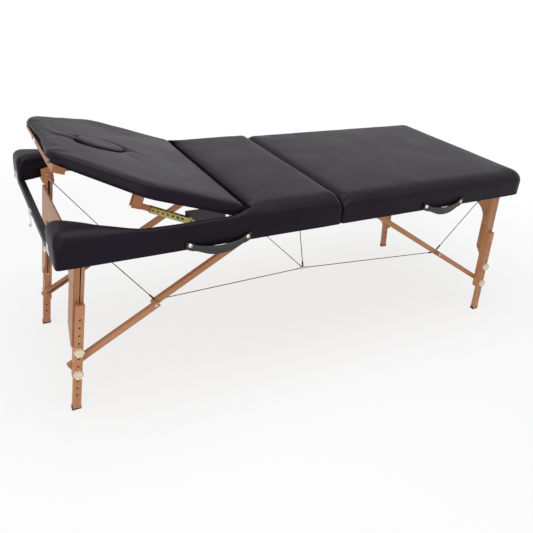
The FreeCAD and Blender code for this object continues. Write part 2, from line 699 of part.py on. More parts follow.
    def pivot_blocks(self):
        """Blocks on the side rails that carry the leg and brace pivots, with their bolts."""
        pieces = []
        for point, bar_y in ((self.pivot, self.upper_y), (self.brace_top, self.top_brace_y)):
            block = self.block(point, bar_y)
            bolt = rod_y(point.x, point.z, PIVOT_BOLT_R, bar_y, RAIL_IN)
            head = rod_y(point.x, point.z, BOLT_HEAD_R, bar_y - BAR_GAP - BOLT_HEAD_T, bar_y - BAR_GAP)
            neck = rod_y(point.x, point.z, PIVOT_BOLT_R, bar_y - BAR_GAP, bar_y)
            pieces += pair(block.cut(bolt)) + pair(bolt.fuse([head, neck]).removeSplitter())
        return pieces


HEAD = Leg("head", HEAD_FLOOR_X, HEAD_SPLAY, HEAD_BRACE_TOP_X, HEAD_BRACE_LOW_Z, HEAD_LEG_OUTER_Y)
FOOT = Leg("foot", FOOT_FLOOR_X, FOOT_SPLAY, FOOT_BRACE_TOP_X, FOOT_BRACE_LOW_Z, FOOT_LEG_OUTER_Y)


def strut_direction():
    """Unit vector of the raised struts, from the frame pivot towards the backrest."""
    flat = vec(BACK_PIVOT_X - PROP_S, 0, BACK_Z - PROP_DROP)
    turn = FreeCAD.Rotation(Y_AXIS, BACK_ANGLE)
    top = BACK_PIVOT + turn.multVec(flat - BACK_PIVOT)
    return top - vec(STRUT_PIVOT_X, 0, STRUT_PIVOT_Z)


def on_strut(shape):
    """Move a piece drawn along -X from the origin onto the far strut's line."""
    line = strut_direction()
    angle = math.degrees(math.atan2(line.z, -line.x))
    turned = shape.rotated(vec(0, 0, 0), Y_AXIS, angle)
    return turned.translated(vec(STRUT_PIVOT_X, STRUT_Y, STRUT_PIVOT_Z))


def strut_channels():
    """Perforated steel channels, open above, that hold the prop bars."""
    inner = BAR_W / 2 + CHANNEL_PLAY
    outer = inner + CHANNEL_WALL
    floor = BAR_H / 2 + CHANNEL_PLAY
    channel = box(-CHANNEL_LENGTH, BAR_H / 2, -outer, outer, -floor - CHANNEL_WALL, floor)
    channel = channel.cut(box(-CHANNEL_LENGTH - 1, BAR_H, -inner, inner, -floor, floor + 1))
    slots = int(CHANNEL_LENGTH / CHANNEL_SLOT_PITCH) - 1
    for k in range(1, slots + 1):
        x = -CHANNEL_SLOT_PITCH * k - BAR_H
        x0, x1 = x - CHANNEL_SLOT_LENGTH / 2, x + CHANNEL_SLOT_LENGTH / 2
        z0, z1 = -CHANNEL_SLOT_H / 2, CHANNEL_SLOT_H / 2
        channel = channel.cut(box(x0, x1, -outer - 1, outer + 1, z0, z1))
    channel = channel.cut(rod_y(0, 0, STRUT_PIN_R + RUNNING_CLEARANCE, -outer - 1, outer + 1))
    return pair(on_strut(channel))


def strut_bars():
    """Wooden bars that slide in the channels and carry the backrest."""
    end = -strut_direction().Length - BAR_H / 2
    bar = box(end, end + BAR_LENGTH, -BAR_W / 2, BAR_W / 2, -BAR_H / 2, BAR_H / 2)
    return pair(on_strut(bar))


def strut_mount():
    """Batten under the seat's front edge, with a plate and pin for each strut."""
    back = SEAT_FRONT_X + FRONT_BATTEN_T
    batten = box(SEAT_FRONT_X, back, -FRONT_BATTEN_HALF, FRONT_BATTEN_HALF, DECK_Z - FRONT_BATTEN_H, DECK_Z)
    outer = STRUT_Y - BAR_W / 2 - CHANNEL_PLAY - CHANNEL_WALL - CHANNEL_PLAY
    low, high = STRUT_PIVOT_Z - PLATE_BELOW, STRUT_PIVOT_Z + PLATE_ABOVE
    start = STRUT_PIVOT_X - PLATE_NOSE
    plate = box(start, SEAT_FRONT_X, outer - PLATE_T, outer, low, high)
    pin_end = STRUT_Y + BAR_W / 2 + CHANNEL_PLAY + CHANNEL_WALL + CHANNEL_PLAY
    pin = rod_y(STRUT_PIVOT_X, STRUT_PIVOT_Z, STRUT_PIN_R, outer - PLATE_T, pin_end)
    return [batten] + pair(plate.fuse(pin).removeSplitter())


def knuckles(x, z, centre_y, shares):
    """Hinge barrel pieces along Y; shares are (start, end) in fractions of the hinge's length."""
    pieces = []
    for start, end in shares:
        y0 = centre_y + HINGE_LENGTH * (start - 0.5)
        y1 = centre_y + HINGE_LENGTH * (end - 0.5)
        pieces.append(rod_y(x, z, KNUCKLE_R, y0, y1))
    return pieces


def fold_hinge(side, shares):
    """One fold hinge half on the far side: a leaf let into the rail and its barrel pieces."""
    leaf_end = side * (FOLD_RAIL_X + HINGE_LEAF)
    half = HINGE_LENGTH / 2
    pieces = []
    for barrel in knuckles(0, FOLD_Z, HINGE_Y, shares):
        y0, y1 = barrel.BoundBox.YMin, barrel.BoundBox.YMax
        inner, outer = sorted((0.0, side * FOLD_RAIL_X))
        tongue = box(inner, outer, y0, y1, RIM_Z, RIM_Z + HINGE_LEAF_T)
        pieces.append(barrel.fuse(tongue))
    inner, outer = sorted((side * FOLD_RAIL_X, leaf_end))
    leaf = box(inner, outer, HINGE_Y - half, HINGE_Y + half, RIM_Z, RIM_Z + HINGE_LEAF_T)
    return leaf.fuse(pieces).removeSplitter()


def fold_hinges():
    """Head and foot halves of both fold hinges; the pins stay with the head half."""
    half = HINGE_LENGTH / 2
    pin = rod_y(0, FOLD_Z, HINGE_PIN_R, HINGE_Y - half, HINGE_Y + half)
    bore = rod_y(0, FOLD_Z, HINGE_PIN_R + RUNNING_CLEARANCE, HINGE_Y - half - 1, HINGE_Y + half + 1)
    head = fold_hinge(-1, OUTER_SHARES).cut(pin)
    foot = fold_hinge(1, INNER_SHARES).cut(bore)
    return pair(head) + pair(pin), pair(foot)


def back_hinges():
    """Seat and backrest halves of the backrest's hinges; the pins stay with the seat."""
    half = HINGE_LENGTH / 2
    x, z = BACK_PIVOT_X, BACK_Z
    leaf_x = SEAT_FRONT_X - HINGE_LEAF_T
    hinge_y = HINGE_Y / 2
    low = z - HINGE_LEAF
    seat = box(leaf_x, SEAT_FRONT_X, hinge_y - half, hinge_y + half, low, z - KNUCKLE_R - 1)
    for barrel in knuckles(x, z, hinge_y, OUTER_SHARES):
        y0, y1 = barrel.BoundBox.YMin, barrel.BoundBox.YMax
        neck = box(leaf_x, SEAT_FRONT_X, y0, y1, z - KNUCKLE_R - 1, z)
        bridge = box(x, SEAT_FRONT_X, y0, y1, z - HINGE_LEAF_T, z)
        seat = seat.fuse([barrel, neck, bridge])
    pin = rod_y(x, z, HINGE_PIN_R, hinge_y - half, hinge_y + half)
    seat = seat.removeSplitter().cut(pin)
    leaf = box(BACK_HINGE_X - HINGE_LEAF, x, hinge_y - half, hinge_y + half, z - HINGE_LEAF_T, z)
    for start, end in OUTER_SHARES:
        y0 = hinge_y + HINGE_LENGTH * (start - 0.5) - HINGE_PLAY
        y1 = hinge_y + HINGE_LENGTH * (end - 0.5) + HINGE_PLAY
        leaf = leaf.cut(box(x - KNUCKLE_R - 1, x + KNUCKLE_R, y0, y1, z - KNUCKLE_R, z + KNUCKLE_R))
    leaf = leaf.fuse(knuckles(x, z, hinge_y, INNER_SHARES)).removeSplitter()
    bore = rod_y(x, z, HINGE_PIN_R + RUNNING_CLEARANCE, hinge_y - half - 1, hinge_y + half + 1)
    moving = BACKREST.raised(leaf.cut(bore))
    return pair(seat) + pair(pin), pair(moving)


def handle(span):
    """A sagging strap on the near side with a screw cup at each end."""
    x0, x1 = span
    face_y = -HALF_W
    steps = 8
    wires = []
    for k in range(steps + 1):
        t = k / steps
        swell = math.sin(math.pi * t)
        x = x0 + (x1 - x0) * t
        y = face_y - HANDLE_REACH * swell
        z = HANDLE_Z - HANDLE_DROP * swell
        width = HANDLE_W * (HANDLE_END_SHARE + (1 - HANDLE_END_SHARE) * swell)
        corners = [
            vec(x, y, z - width / 2), vec(x, y - HANDLE_T, z - width / 2),
            vec(x, y - HANDLE_T, z + width / 2), vec(x, y, z + width / 2),
        ]
        wires.append(Part.makePolygon(corners + corners[:1]))
    strap = Part.makeLoft(wires, True, False)
    cups = []
    for x in (x0 + SCREW_CUP_INSET, x1 - SCREW_CUP_INSET):
        lean = HANDLE_REACH * math.sin(math.pi * SCREW_CUP_INSET / (x1 - x0))
        top = face_y - HANDLE_T - lean
        cup = rod_y(x, HANDLE_Z, SCREW_CUP_R, top - HANDLE_T / 2, face_y)
        strap = strap.cut(cup)
        cups.append(cup)
    return [strap] + cups


def case_catches():
    """Hooked plates at the head end that the case latches close on."""
    face_x = -HALF_LENGTH
    y0, y1 = CATCH_Y - CATCH_W / 2, CATCH_Y + CATCH_W / 2
    plate = box(face_x - SHEET_T, face_x, y0, y1, CATCH_Z - CATCH_H / 2, CATCH_Z + CATCH_H / 2)
    lip_x = face_x - LATCH_EAR
    shelf = box(lip_x, face_x, y0, y1, CATCH_Z, CATCH_Z + SHEET_T)
    lip = box(lip_x - SHEET_T, lip_x, y0, y1, CATCH_Z - LATCH_EAR / 2, CATCH_Z + SHEET_T)
    return pair(plate.fuse([shelf, lip]).removeSplitter())


def draw_latch(face_x, side, y, top_z, base_length):
    """A draw latch on an end face: its base with two ears and a pin, and its lever."""
    def slab(x0, x1, y0, y1, z0, z1):
        near, far = sorted((face_x + side * x0, face_x + side * x1))
        return box(near, far, y + y0, y + y1, z0, z1)

    half = LATCH_W / 2
    pin_x = face_x + side * (LATCH_EAR - LATCH_PIN_INSET)
    pin_z = top_z - LATCH_PIN_DROP
    base = slab(0, SHEET_T, -half, half, top_z - base_length, top_z)
    for edge in (-half, half):
        ear = slab(0, LATCH_EAR, edge - SHEET_T / 2, edge + SHEET_T / 2, top_z - LATCH_EAR_H, top_z)
        base = base.fuse(ear)
    pin = rod_y(pin_x, pin_z, LATCH_PIN_R, y - half, y + half)
    base = base.fuse(pin).removeSplitter()
    inside = half - SHEET_T / 2 - LATCH_PLAY
    lever_x = SHEET_T + LATCH_LEVER_GAP
    lever_end = top_z - LATCH_LENGTH - LATCH_TIP
    lever = slab(lever_x, lever_x + SHEET_T, -inside, inside, lever_end, pin_z)
    tip = slab(lever_x, LATCH_EAR + SHEET_T, -inside, inside, lever_end - SHEET_T, lever_end)
    collar = rod_y(pin_x, pin_z, LATCH_COLLAR_R, y - inside, y + inside)
    bore = rod_y(pin_x, pin_z, LATCH_PIN_R + RUNNING_CLEARANCE, y - half, y + half)
    lever = lever.fuse([collar, tip]).removeSplitter().cut(bore)
    return base, lever


def cable(start, end):
    """A straight stretch of cable."""
    return Part.makeCylinder(CABLE_R, (end - start).Length, start, end - start)


def leg_cable(leg):
    """From the leg's pivot bolt to the top of the upper brace's knee end, on the far side."""
    start_y = leg.upper_y - BAR_GAP - BOLT_HEAD_T - CABLE_STAND_OFF
    end_y = leg.top_brace_y + BAR_T / 2
    rise = BRACE_W / 2 + CABLE_R + 1
    return cable(leg.pivot + vec(0, start_y, 0), leg.knee + vec(0, end_y, rise))


def span_cable(leg):
    """From the leg's knee to the junction, on the far side."""
    side_y = HEAD.top_brace_y - CABLE_STAND_OFF
    knee_y = leg.top_brace_y - CABLE_STAND_OFF
    reach = leg.sign * JUNCTION_RING_R
    return cable(vec(leg.knee.x, knee_y, CABLE_HEIGHT), vec(JUNCTION[0] + reach, side_y, JUNCTION[1]))


def hanger_cables():
    """Hangers from the head deck to the junctions, and the cross cable between the junctions."""
    y = HEAD.top_brace_y - CABLE_STAND_OFF
    ring = JUNCTION_RING_R
    top = vec(HANGER_TOP_X, y, DECK_Z - CABLE_R)
    low = vec(JUNCTION[0], y, JUNCTION[1] + ring)
    cross = cable(vec(JUNCTION[0], ring - y, JUNCTION[1]), vec(JUNCTION[0], y - ring, JUNCTION[1]))
    return pair(cable(top, low)) + [cross]


def write_head_half():
    export("head_side_rails", head_side_rails())
    export("head_cross_rails", head_cross_rails())
    export("head_deck", [head_deck_shape(DECK_Z, FOAM_Z)])
    export("seat_pad", [seat_pad()])
    export("arm_pads", arm_pads())
    export("head_rail_cover", [head_rail_cover()])
    export("strut_mount", strut_mount())
    export("head_pivot_blocks", HEAD.pivot_blocks())
    export("case_catches", case_catches())
    export("head_handle", handle(HANDLE_SPANS["head"]))
    latch_top = RIM_Z + HEAD_RAIL_H - RAIL_LATCH_DROP
    base, lever = draw_latch(-HALF_LENGTH, -1, 0.0, latch_top, RAIL_LATCH_BASE)
    export("rail_latch_base", [base])
    export("rail_latch_lever", [lever])


def write_foot_half():
    sides, cross = foot_rails()
    export("foot_side_rails", sides)
    export("foot_cross_rails", cross)
    export("foot_deck", [prism(FOOT_DECK_OUTLINE, DECK_Z, FOAM_Z)])
    export("foot_pad", [foot_pad()])
    export("foot_pivot_blocks", FOOT.pivot_blocks())
    export("foot_handle", handle(HANDLE_SPANS["foot"]))
    base, lever = draw_latch(HALF_LENGTH, 1, CATCH_Y, CATCH_Z + LATCH_LENGTH / 2, LATCH_LENGTH)
    export("case_latch_bases", pair(base))
    export("case_latch_levers", pair(lever))


def write_backrest():
    export("backrest_board", [BACKREST.board()])
    export("backrest_pad", [BACKREST.pad()])
    export("face_plug", [BACKREST.plug()])
    export("backrest_battens", BACKREST.battens())
    export("headrest_sockets", BACKREST.sockets())
    export("backrest_catch", BACKREST.catch())
    export("prop_forks", BACKREST.forks())
    export("strut_channels", strut_channels())
    export("strut_bars", strut_bars())


def write_hinges():
    head, foot = fold_hinges()
    export("fold_hinge_head", head)
    export("fold_hinge_foot", foot)
    seat, moving = back_hinges()
    export("seat_hinge_leaves", seat)
    export("backrest_hinge_leaves", moving)


def write_legs(leg):
    export(f"{leg.name}_upper_legs", leg.upper_legs())
    export(f"{leg.name}_end_panel", [leg.end_panel()])
    export(f"{leg.name}_lower_legs", leg.lower_legs())
    export(f"{leg.name}_rubber_feet", leg.rubber_feet())
    export(f"{leg.name}_upper_braces", leg.upper_braces())
    export(f"{leg.name}_lower_braces", leg.lower_braces())
    for height, point in zip(("high", "low"), leg.knob_points()):
        far = leg.knob(point)
        export(f"{leg.name}_knob_far_{height}", [far])
        export(f"{leg.name}_knob_near_{height}", [mirrored(far)])


def write_cables():
    for leg in (HEAD, FOOT):
        far = leg_cable(leg)
        export(f"{leg.name}_leg_cable_far", [far])
        export(f"{leg.name}_leg_cable_near", [mirrored(far)])
        export(f"{leg.name}_span_cables", pair(span_cable(leg)))
    export("hanger_cables", hanger_cables())


os.makedirs("parts", exist_ok=True)
write_head_half()
write_foot_half()
write_backrest()
write_hinges()
for leg_end in (HEAD, FOOT):
    write_legs(leg_end)
write_cables()
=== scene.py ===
"""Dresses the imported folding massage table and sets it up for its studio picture.

Every piece is in metres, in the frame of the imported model: origin on the floor below the
fold, +X to the foot end, +Z up, and the carrying handles on the -Y side.
"""
from __future__ import annotations

import json
import logging
import math
from dataclasses import dataclass
from enum import Enum
from typing import Callable, Sequence

import bmesh
import bpy
from mathutils import Matrix, Vector, noise


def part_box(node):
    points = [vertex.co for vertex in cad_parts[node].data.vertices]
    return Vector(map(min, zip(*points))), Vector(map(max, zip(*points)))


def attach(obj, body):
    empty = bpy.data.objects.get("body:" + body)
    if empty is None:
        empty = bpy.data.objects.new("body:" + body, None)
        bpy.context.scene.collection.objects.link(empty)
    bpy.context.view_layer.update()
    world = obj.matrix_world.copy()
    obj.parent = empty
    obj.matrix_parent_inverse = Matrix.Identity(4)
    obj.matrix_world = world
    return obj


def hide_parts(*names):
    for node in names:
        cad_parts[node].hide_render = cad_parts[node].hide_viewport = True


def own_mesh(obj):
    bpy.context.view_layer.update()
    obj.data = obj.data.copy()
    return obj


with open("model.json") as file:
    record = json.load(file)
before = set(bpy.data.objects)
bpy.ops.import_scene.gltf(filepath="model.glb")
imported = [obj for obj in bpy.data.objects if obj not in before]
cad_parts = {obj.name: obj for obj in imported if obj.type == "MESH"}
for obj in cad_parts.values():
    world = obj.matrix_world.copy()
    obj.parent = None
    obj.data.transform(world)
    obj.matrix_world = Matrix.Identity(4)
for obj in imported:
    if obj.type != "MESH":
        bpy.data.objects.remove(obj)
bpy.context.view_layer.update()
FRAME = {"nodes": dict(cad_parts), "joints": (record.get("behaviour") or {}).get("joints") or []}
LOG = logging.getLogger("massage_table")
TINY = 1e-5

Piece = bpy.types.Object
Finish = bpy.types.Material
Mesh = bmesh.types.BMesh
Triple = tuple[float, float, float]
Colour = Triple
Number = float | int


def smooth(low: float, high: float, value: float) -> float:
    """Ease from 0 where the value is low to 1 where it is high."""
    share = max(0.0, min(1.0, (value - low) / (high - low)))
    return share * share * (3.0 - 2.0 * share)


def packed_joint(name: str) -> dict:
    """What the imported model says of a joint."""
    return next(joint for joint in FRAME["joints"] if joint["name"] == name)


def joint_place(name: str) -> Vector:
    """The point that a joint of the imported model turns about."""
    return Vector(packed_joint(name)["pos_m"])


class Side(Enum):
    """The two long sides of the table."""

    NEAR = -1
    FAR = 1

    @property
    def tag(self) -> str:
        """What the names of pieces on this side end with."""
        return self.name.lower()


class End(Enum):
    """The two leg ends of the table."""

    HEAD = "head"
    FOOT = "foot"

    @property
    def sign(self) -> int:
        """Which way along X this end lies."""
        return -1 if self is End.HEAD else 1


class Signal:
    """A shader socket that takes part in Python arithmetic."""

    def __init__(self, graph: "Graph", socket: bpy.types.NodeSocket) -> None:
        """Hold a socket and the graph that it belongs to."""
        self.graph = graph
        self.socket = socket

    def math(self, operation: str, *others: "Signal | Number") -> "Signal":
        """Add a Math node with this signal first."""
        return self.graph.node("ShaderNodeMath", {"operation": operation}, [self, *others])

    def __add__(self, other: "Signal | Number") -> "Signal":
        """Sum."""
        return self.math("ADD", other)

    __radd__ = __add__

    def __sub__(self, other: "Signal | Number") -> "Signal":
        """Difference."""
        return self.math("SUBTRACT", other)

    def __rsub__(self, other: Number) -> "Signal":
        """Difference from a number."""
        return self.graph.node("ShaderNodeMath", {"operation": "SUBTRACT"}, [other, self])

    def __mul__(self, other: "Signal | Number") -> "Signal":
        """Product."""
        return self.math("MULTIPLY", other)

    __rmul__ = __mul__

    def size(self) -> "Signal":
        """Absolute value."""
        return self.math("ABSOLUTE")

    def wave(self) -> "Signal":
        """Sine."""
        return self.math("SINE")

    def step(self, low: float, high: float) -> "Signal":
        """Ease from 0 at low to 1 at high."""
        settings = {"interpolation_type": "SMOOTHSTEP"}
        return self.graph.node("ShaderNodeMapRange", settings, [self, low, high, 0.0, 1.0])


class Graph:
    """The nodes of one material, or of the world."""

    MIX_COLOUR = {"data_type": "RGBA"}

    def __init__(self, owner: Finish | bpy.types.World) -> None:
        """Start the nodes of a material or of the world afresh."""
        owner.use_nodes = True
        self.owner = owner
        self.tree = owner.node_tree
        self.tree.nodes.clear()

    @classmethod
    def of_material(cls, name: str) -> Graph:
        """The nodes of a new material."""
        return cls(bpy.data.materials.new(name))

    def node(
        self,
        kind: str,
        settings: dict | None = None,
        inputs: Sequence | dict | None = None,
        output: int | str = 0,
    ) -> Signal:
        """Add one node.

        Args:
            kind: Blender's name of the node type.
            settings: the node's own properties.
            inputs: values or signals, in order or by the socket's name or number.
            output: which output to hand back.

        Returns:
            The chosen output as a signal.
        """
        node = self.tree.nodes.new(kind)
        for key, value in (settings or {}).items():
            setattr(node, key, value)
        pairs = inputs.items() if isinstance(inputs, dict) else enumerate(inputs or [])
        for key, value in pairs:
            socket = node.inputs[key]
            if isinstance(value, Signal):
                self.tree.links.new(value.socket, socket)
            else:
                socket.default_value = value
        return Signal(self, node.outputs[output])

    def place(self) -> Signal:
        """Object coordinates, which are the model's own metres."""
        return self.node("ShaderNodeTexCoord", output="Object")

    def facing(self) -> Signal:
        """The surface normal in object coordinates."""
        return self.node("ShaderNodeTexCoord", output="Normal")

    def along(self, vector: Signal, direction: Vector) -> Signal:
        """How far a vector reaches along a direction."""
        settings = {"operation": "DOT_PRODUCT"}
        return self.node("ShaderNodeVectorMath", settings, [vector, tuple(direction)], "Value")

    def vector(self, x: Signal | Number, y: Signal | Number, z: Signal | Number) -> Signal:
        """A vector from three numbers."""
        return self.node("ShaderNodeCombineXYZ", None, [x, y, z])

    def noise(
        self, vector: Signal, scale: float, detail: float = 2.0, rough: float = 0.5
    ) -> Signal:
        """Soft noise from 0 to 1."""
        values = {"Vector": vector, "Scale": scale, "Detail": detail, "Roughness": rough}
        return self.node("ShaderNodeTexNoise", None, values)

    def mix(
        self, factor: Signal | Number, first: Signal | Colour, second: Signal | Colour
    ) -> Signal:
        """A colour between two others."""
        ends = [value if isinstance(value, Signal) else (*value, 1.0) for value in (first, second)]
        return self.node("ShaderNodeMix", self.MIX_COLOUR, {0: factor, 6: ends[0], 7: ends[1]}, 2)

    def bump(self, height: Signal, strength: float, distance: float) -> Signal:
        """A bumped normal."""
        values = {"Height": height, "Strength": strength, "Distance": distance}
        return self.node("ShaderNodeBump", None, values)

    def surface(self, **inputs: Signal | Number | Colour) -> Finish:
        """Close the graph with a Principled shader.

        Args:
            inputs: socket values by name, with _ for a space.

        Returns:
            The finished material.
        """
        values = {}
        for key, value in inputs.items():
            name = key.replace("_", " ")
            values[name] = (*value, 1.0) if isinstance(value, tuple) else value
        shader = self.node("ShaderNodeBsdfPrincipled", None, values)
        self.finish(shader)
        return self.owner

    def finish(self, shader: Signal, output: str = "ShaderNodeOutputMaterial") -> None:
        """Link a shader to the output node."""
        target = self.tree.nodes.new(output)
        self.tree.links.new(shader.socket, target.inputs["Surface"])

    def seen(self) -> Signal:
        """1 for what the camera sees, also mirrored or through glass; 0 for light on a surface."""
        kinds = ("Camera", "Glossy", "Transmission")
        rays = [self.node("ShaderNodeLightPath", output=f"Is {kind} Ray") for kind in kinds]
        return rays[0].math("MAXIMUM", rays[1]).math("MAXIMUM", rays[2])


@dataclass(frozen=True)
class Vinyl:
    """Upholstery vinyl with a fine pressed grain."""

    name: str = "charcoal_vinyl"
    dark: Colour = (0.0056, 0.0036, 0.0062)
    pale: Colour = (0.0098, 0.0066, 0.0120)
    sheen: Colour = (0.93, 0.85, 1.0)
    specular: float = 0.13
    rough_low: float = 0.38
    rough_high: float = 0.47
    cloud_scale: float = 7.0
    cloud_share: float = 0.7
    speckle_scale: float = 260.0
    grain_scale: float = 850.0
    grain_strength: float = 0.10
    grain_depth: float = 0.0004
    cell_edge: float = 0.35
    cell_share: float = 0.7
    pore_scale: float = 510.0
    pore_share: float = 0.5

    def material(self) -> Finish:
        """Build the finish."""
        graph = Graph.of_material(self.name)
        place = graph.place()
        cloud = graph.noise(place, self.cloud_scale, 3.0).step(0.25, 0.75)
        speckle = graph.noise(place, self.speckle_scale)
        cells = graph.node(
            "ShaderNodeTexVoronoi",
            {"feature": "DISTANCE_TO_EDGE"},
            {"Vector": place, "Scale": self.grain_scale},
        )
        pores = graph.noise(place, self.pore_scale, 3.0)
        grain = cells.step(0.0, self.cell_edge) * self.cell_share + pores * self.pore_share
        tone = cloud * self.cloud_share + speckle * (1.0 - self.cloud_share)
        rough = tone * (self.rough_high - self.rough_low) + self.rough_low
        return graph.surface(
            Base_Color=graph.mix(tone, self.dark, self.pale),
            Roughness=rough,
            Specular_IOR_Level=self.specular,
            Specular_Tint=self.sheen,
            Normal=graph.bump(grain, self.grain_strength, self.grain_depth),
        )


@dataclass(frozen=True)
class Timber:
    """Varnished beech with its grain along one direction, or plywood with plies on its edges."""

    name: str
    grain: Triple
    pale: Colour = (0.56, 0.275, 0.135)
    dark: Colour = (0.40, 0.170, 0.072)
    fleck: Colour = (0.26, 0.095, 0.038)
    ply_normal: Triple | None = None
    ply_step: float = 0.0018
    ply_share: float = 0.65
    broad_scales: tuple[float, float] = (2.2, 34.0)
    line_scales: tuple[float, float] = (7.0, 420.0)
    dash_scales: tuple[float, float] = (130.0, 1300.0)
    broad_share: float = 0.55
    fleck_share: float = 0.45
    line_height: float = 0.6
    rough_low: float = 0.36
    rough_span: float = 0.14
    specular: float = 0.32
    coat: float = 0.04
    coat_rough: float = 0.3
    relief: float = 0.12
    relief_depth: float = 0.0004

    def material(self) -> Finish:
        """Build the finish."""
        graph = Graph.of_material(self.name)
        place = graph.place()
        along = Vector(self.grain).normalized()
        across = along.orthogonal().normalized()
        axes = [graph.along(place, axis) for axis in (along, across, along.cross(across))]
        broad = self._streaks(graph, axes, self.broad_scales, 3.0).step(0.28, 0.72)
        lines = self._streaks(graph, axes, self.line_scales, 4.0, 0.6)
        dashes = self._streaks(graph, axes, self.dash_scales, 1.0).step(0.60, 0.70)
        tone = broad * self.broad_share + lines.step(0.3, 0.75) * (1.0 - self.broad_share)
        flecks = dashes * self.fleck_share
        colour = graph.mix(flecks, graph.mix(tone, self.pale, self.dark), self.fleck)
        if self.ply_normal is not None:
            colour = self._plies(graph, place, colour)
        return graph.surface(
            Base_Color=colour,
            Roughness=lines * self.rough_span + self.rough_low,
            Specular_IOR_Level=self.specular,
            Coat_Weight=self.coat,
            Coat_Roughness=self.coat_rough,
            Normal=graph.bump(
                lines * self.line_height + flecks, self.relief, self.relief_depth
            ),
        )

    @staticmethod
    def _streaks(
        graph: Graph,
        axes: Sequence[Signal],
        scales: tuple[float, float],
        detail: float,
        rough: float = 0.5,
    ) -> Signal:
        """Noise that is drawn out along the grain, with a scale along it and one across it."""
        along, across = scales
        place = graph.vector(axes[0] * along, axes[1] * across, axes[2] * across)
        return graph.noise(place, 1.0, detail, rough)

    def _plies(self, graph: Graph, place: Signal, colour: Signal) -> Signal:
        """Darken every second ply on the board's edges."""
        normal = Vector(self.ply_normal).normalized()
        depth = graph.along(place, normal)
        band = (depth * (math.pi / self.ply_step)).wave().step(-0.3, 0.3)
        edge = 1.0 - graph.along(graph.facing(), normal).size().step(0.3, 0.6)
        return graph.mix(band * edge * self.ply_share, colour, self.fleck)


@dataclass(frozen=True)
class Moulded:
    """Moulded plastic or rubber with faint clouds and a fine texture."""

    name: str
    colour: Colour
    shade: Colour
    rough: float
    texture: float = 0.12
    texture_depth: float = 0.0003
    cloud_scale: float = 45.0
    cloud_band: tuple[float, float] = (0.3, 0.75)
    cloud_rough: float = 0.14
    fine_scale: float = 1400.0
    fine_rough: float = 0.06
    metallic: float = 0.0

    def material(self) -> Finish:
        """Build the finish."""
        graph = Graph.of_material(self.name)
        place = graph.place()
        cloud = graph.noise(place, self.cloud_scale, 3.0)
        fine = graph.noise(place, self.fine_scale)
        middle = (self.cloud_rough + self.fine_rough) / 2
        return graph.surface(
            Base_Color=graph.mix(cloud.step(*self.cloud_band), self.colour, self.shade),
            Metallic=self.metallic,
            Roughness=cloud * self.cloud_rough + fine * self.fine_rough + (self.rough - middle),
            Normal=graph.bump(fine, self.texture, self.texture_depth),
        )


@dataclass(frozen=True)
class Metal(Moulded):
    """Plated metal with stains and faint scuffs."""

    texture: float = 0.05
    texture_depth: float = 0.0002
    cloud_scale: float = 60.0
    cloud_band: tuple[float, float] = (0.35, 0.7)
    cloud_rough: float = 0.12
    fine_scale: float = 900.0
    fine_rough: float = 0.08
    metallic: float = 1.0


@dataclass(frozen=True)
class Rope:
    """Coated wire rope whose strands show through the coat; reads the cord's own UV map."""

    name: str = "coated_wire_rope"
    colour: Colour = (0.030, 0.024, 0.020)
    shade: Colour = (0.060, 0.048, 0.040)
    lay_per_metre: float = 90.0
    strands: int = 6
    rough: float = 0.5
    rough_dip: float = 0.12
    relief: float = 0.4
    relief_depth: float = 0.0003

    def material(self) -> Finish:
        """Build the finish."""
        graph = Graph.of_material(self.name)
        uv = graph.node("ShaderNodeTexCoord", output="UV")
        along, around = (graph.node("ShaderNodeSeparateXYZ", None, [uv], axis) for axis in "XY")
        turns = along * self.lay_per_metre + around * float(self.strands)
        strand = (turns * (2.0 * math.pi)).wave() * 0.5 + 0.5
        return graph.surface(
            Base_Color=graph.mix(strand, self.colour, self.shade),
            Roughness=self.rough - strand * self.rough_dip,
            Normal=graph.bump(strand, self.relief, self.relief_depth),
        )


class Finishes:
    """Every finish of the table, made once."""

    def __init__(self) -> None:
        """Make the materials."""
        self.vinyl = Vinyl().material()
        self.strap = Moulded(
            "strap_vinyl", (0.016, 0.015, 0.015), (0.026, 0.024, 0.024), 0.42, texture=0.2
        ).material()
        self.rubber = Moulded(
            "black_rubber", (0.014, 0.014, 0.014), (0.03, 0.03, 0.03), 0.72, texture=0.3
        ).material()
        self.plastic = Moulded(
            "black_plastic", (0.016, 0.016, 0.017), (0.028, 0.028, 0.028), 0.42
        ).material()
        self.cream = Moulded(
            "cream_plastic", (0.82, 0.74, 0.56), (0.74, 0.65, 0.46), 0.42
        ).material()
        self.steel = Metal("zinc_steel", (0.56, 0.56, 0.55), (0.42, 0.42, 0.42), 0.36).material()
        self.chrome = Metal("nickel_plate", (0.80, 0.80, 0.82), (0.66, 0.66, 0.68), 0.20).material()
        self.brass = Metal("brass_screw", (0.72, 0.53, 0.22), (0.55, 0.38, 0.14), 0.30).material()
        self.zinc = Metal(
            "yellow_zinc", (0.46, 0.38, 0.14), (0.24, 0.28, 0.15), 0.34, cloud_scale=38.0
        ).material()
        self.rope = Rope().material()
        self.timbers: dict[str, Finish] = {}

    def timber(self, name: str, grain: Sequence[float], **options: object) -> Finish:
        """A wood finish with its grain and further fields of Timber, made once for each name."""
        if name not in self.timbers:
            self.timbers[name] = Timber(name, tuple(grain), **options).material()
        return self.timbers[name]


def shade(mesh: bpy.types.Mesh, soft: bool = True) -> None:
    """Give every face of a mesh smooth or flat shading."""
    for polygon in mesh.polygons:
        polygon.use_smooth = soft


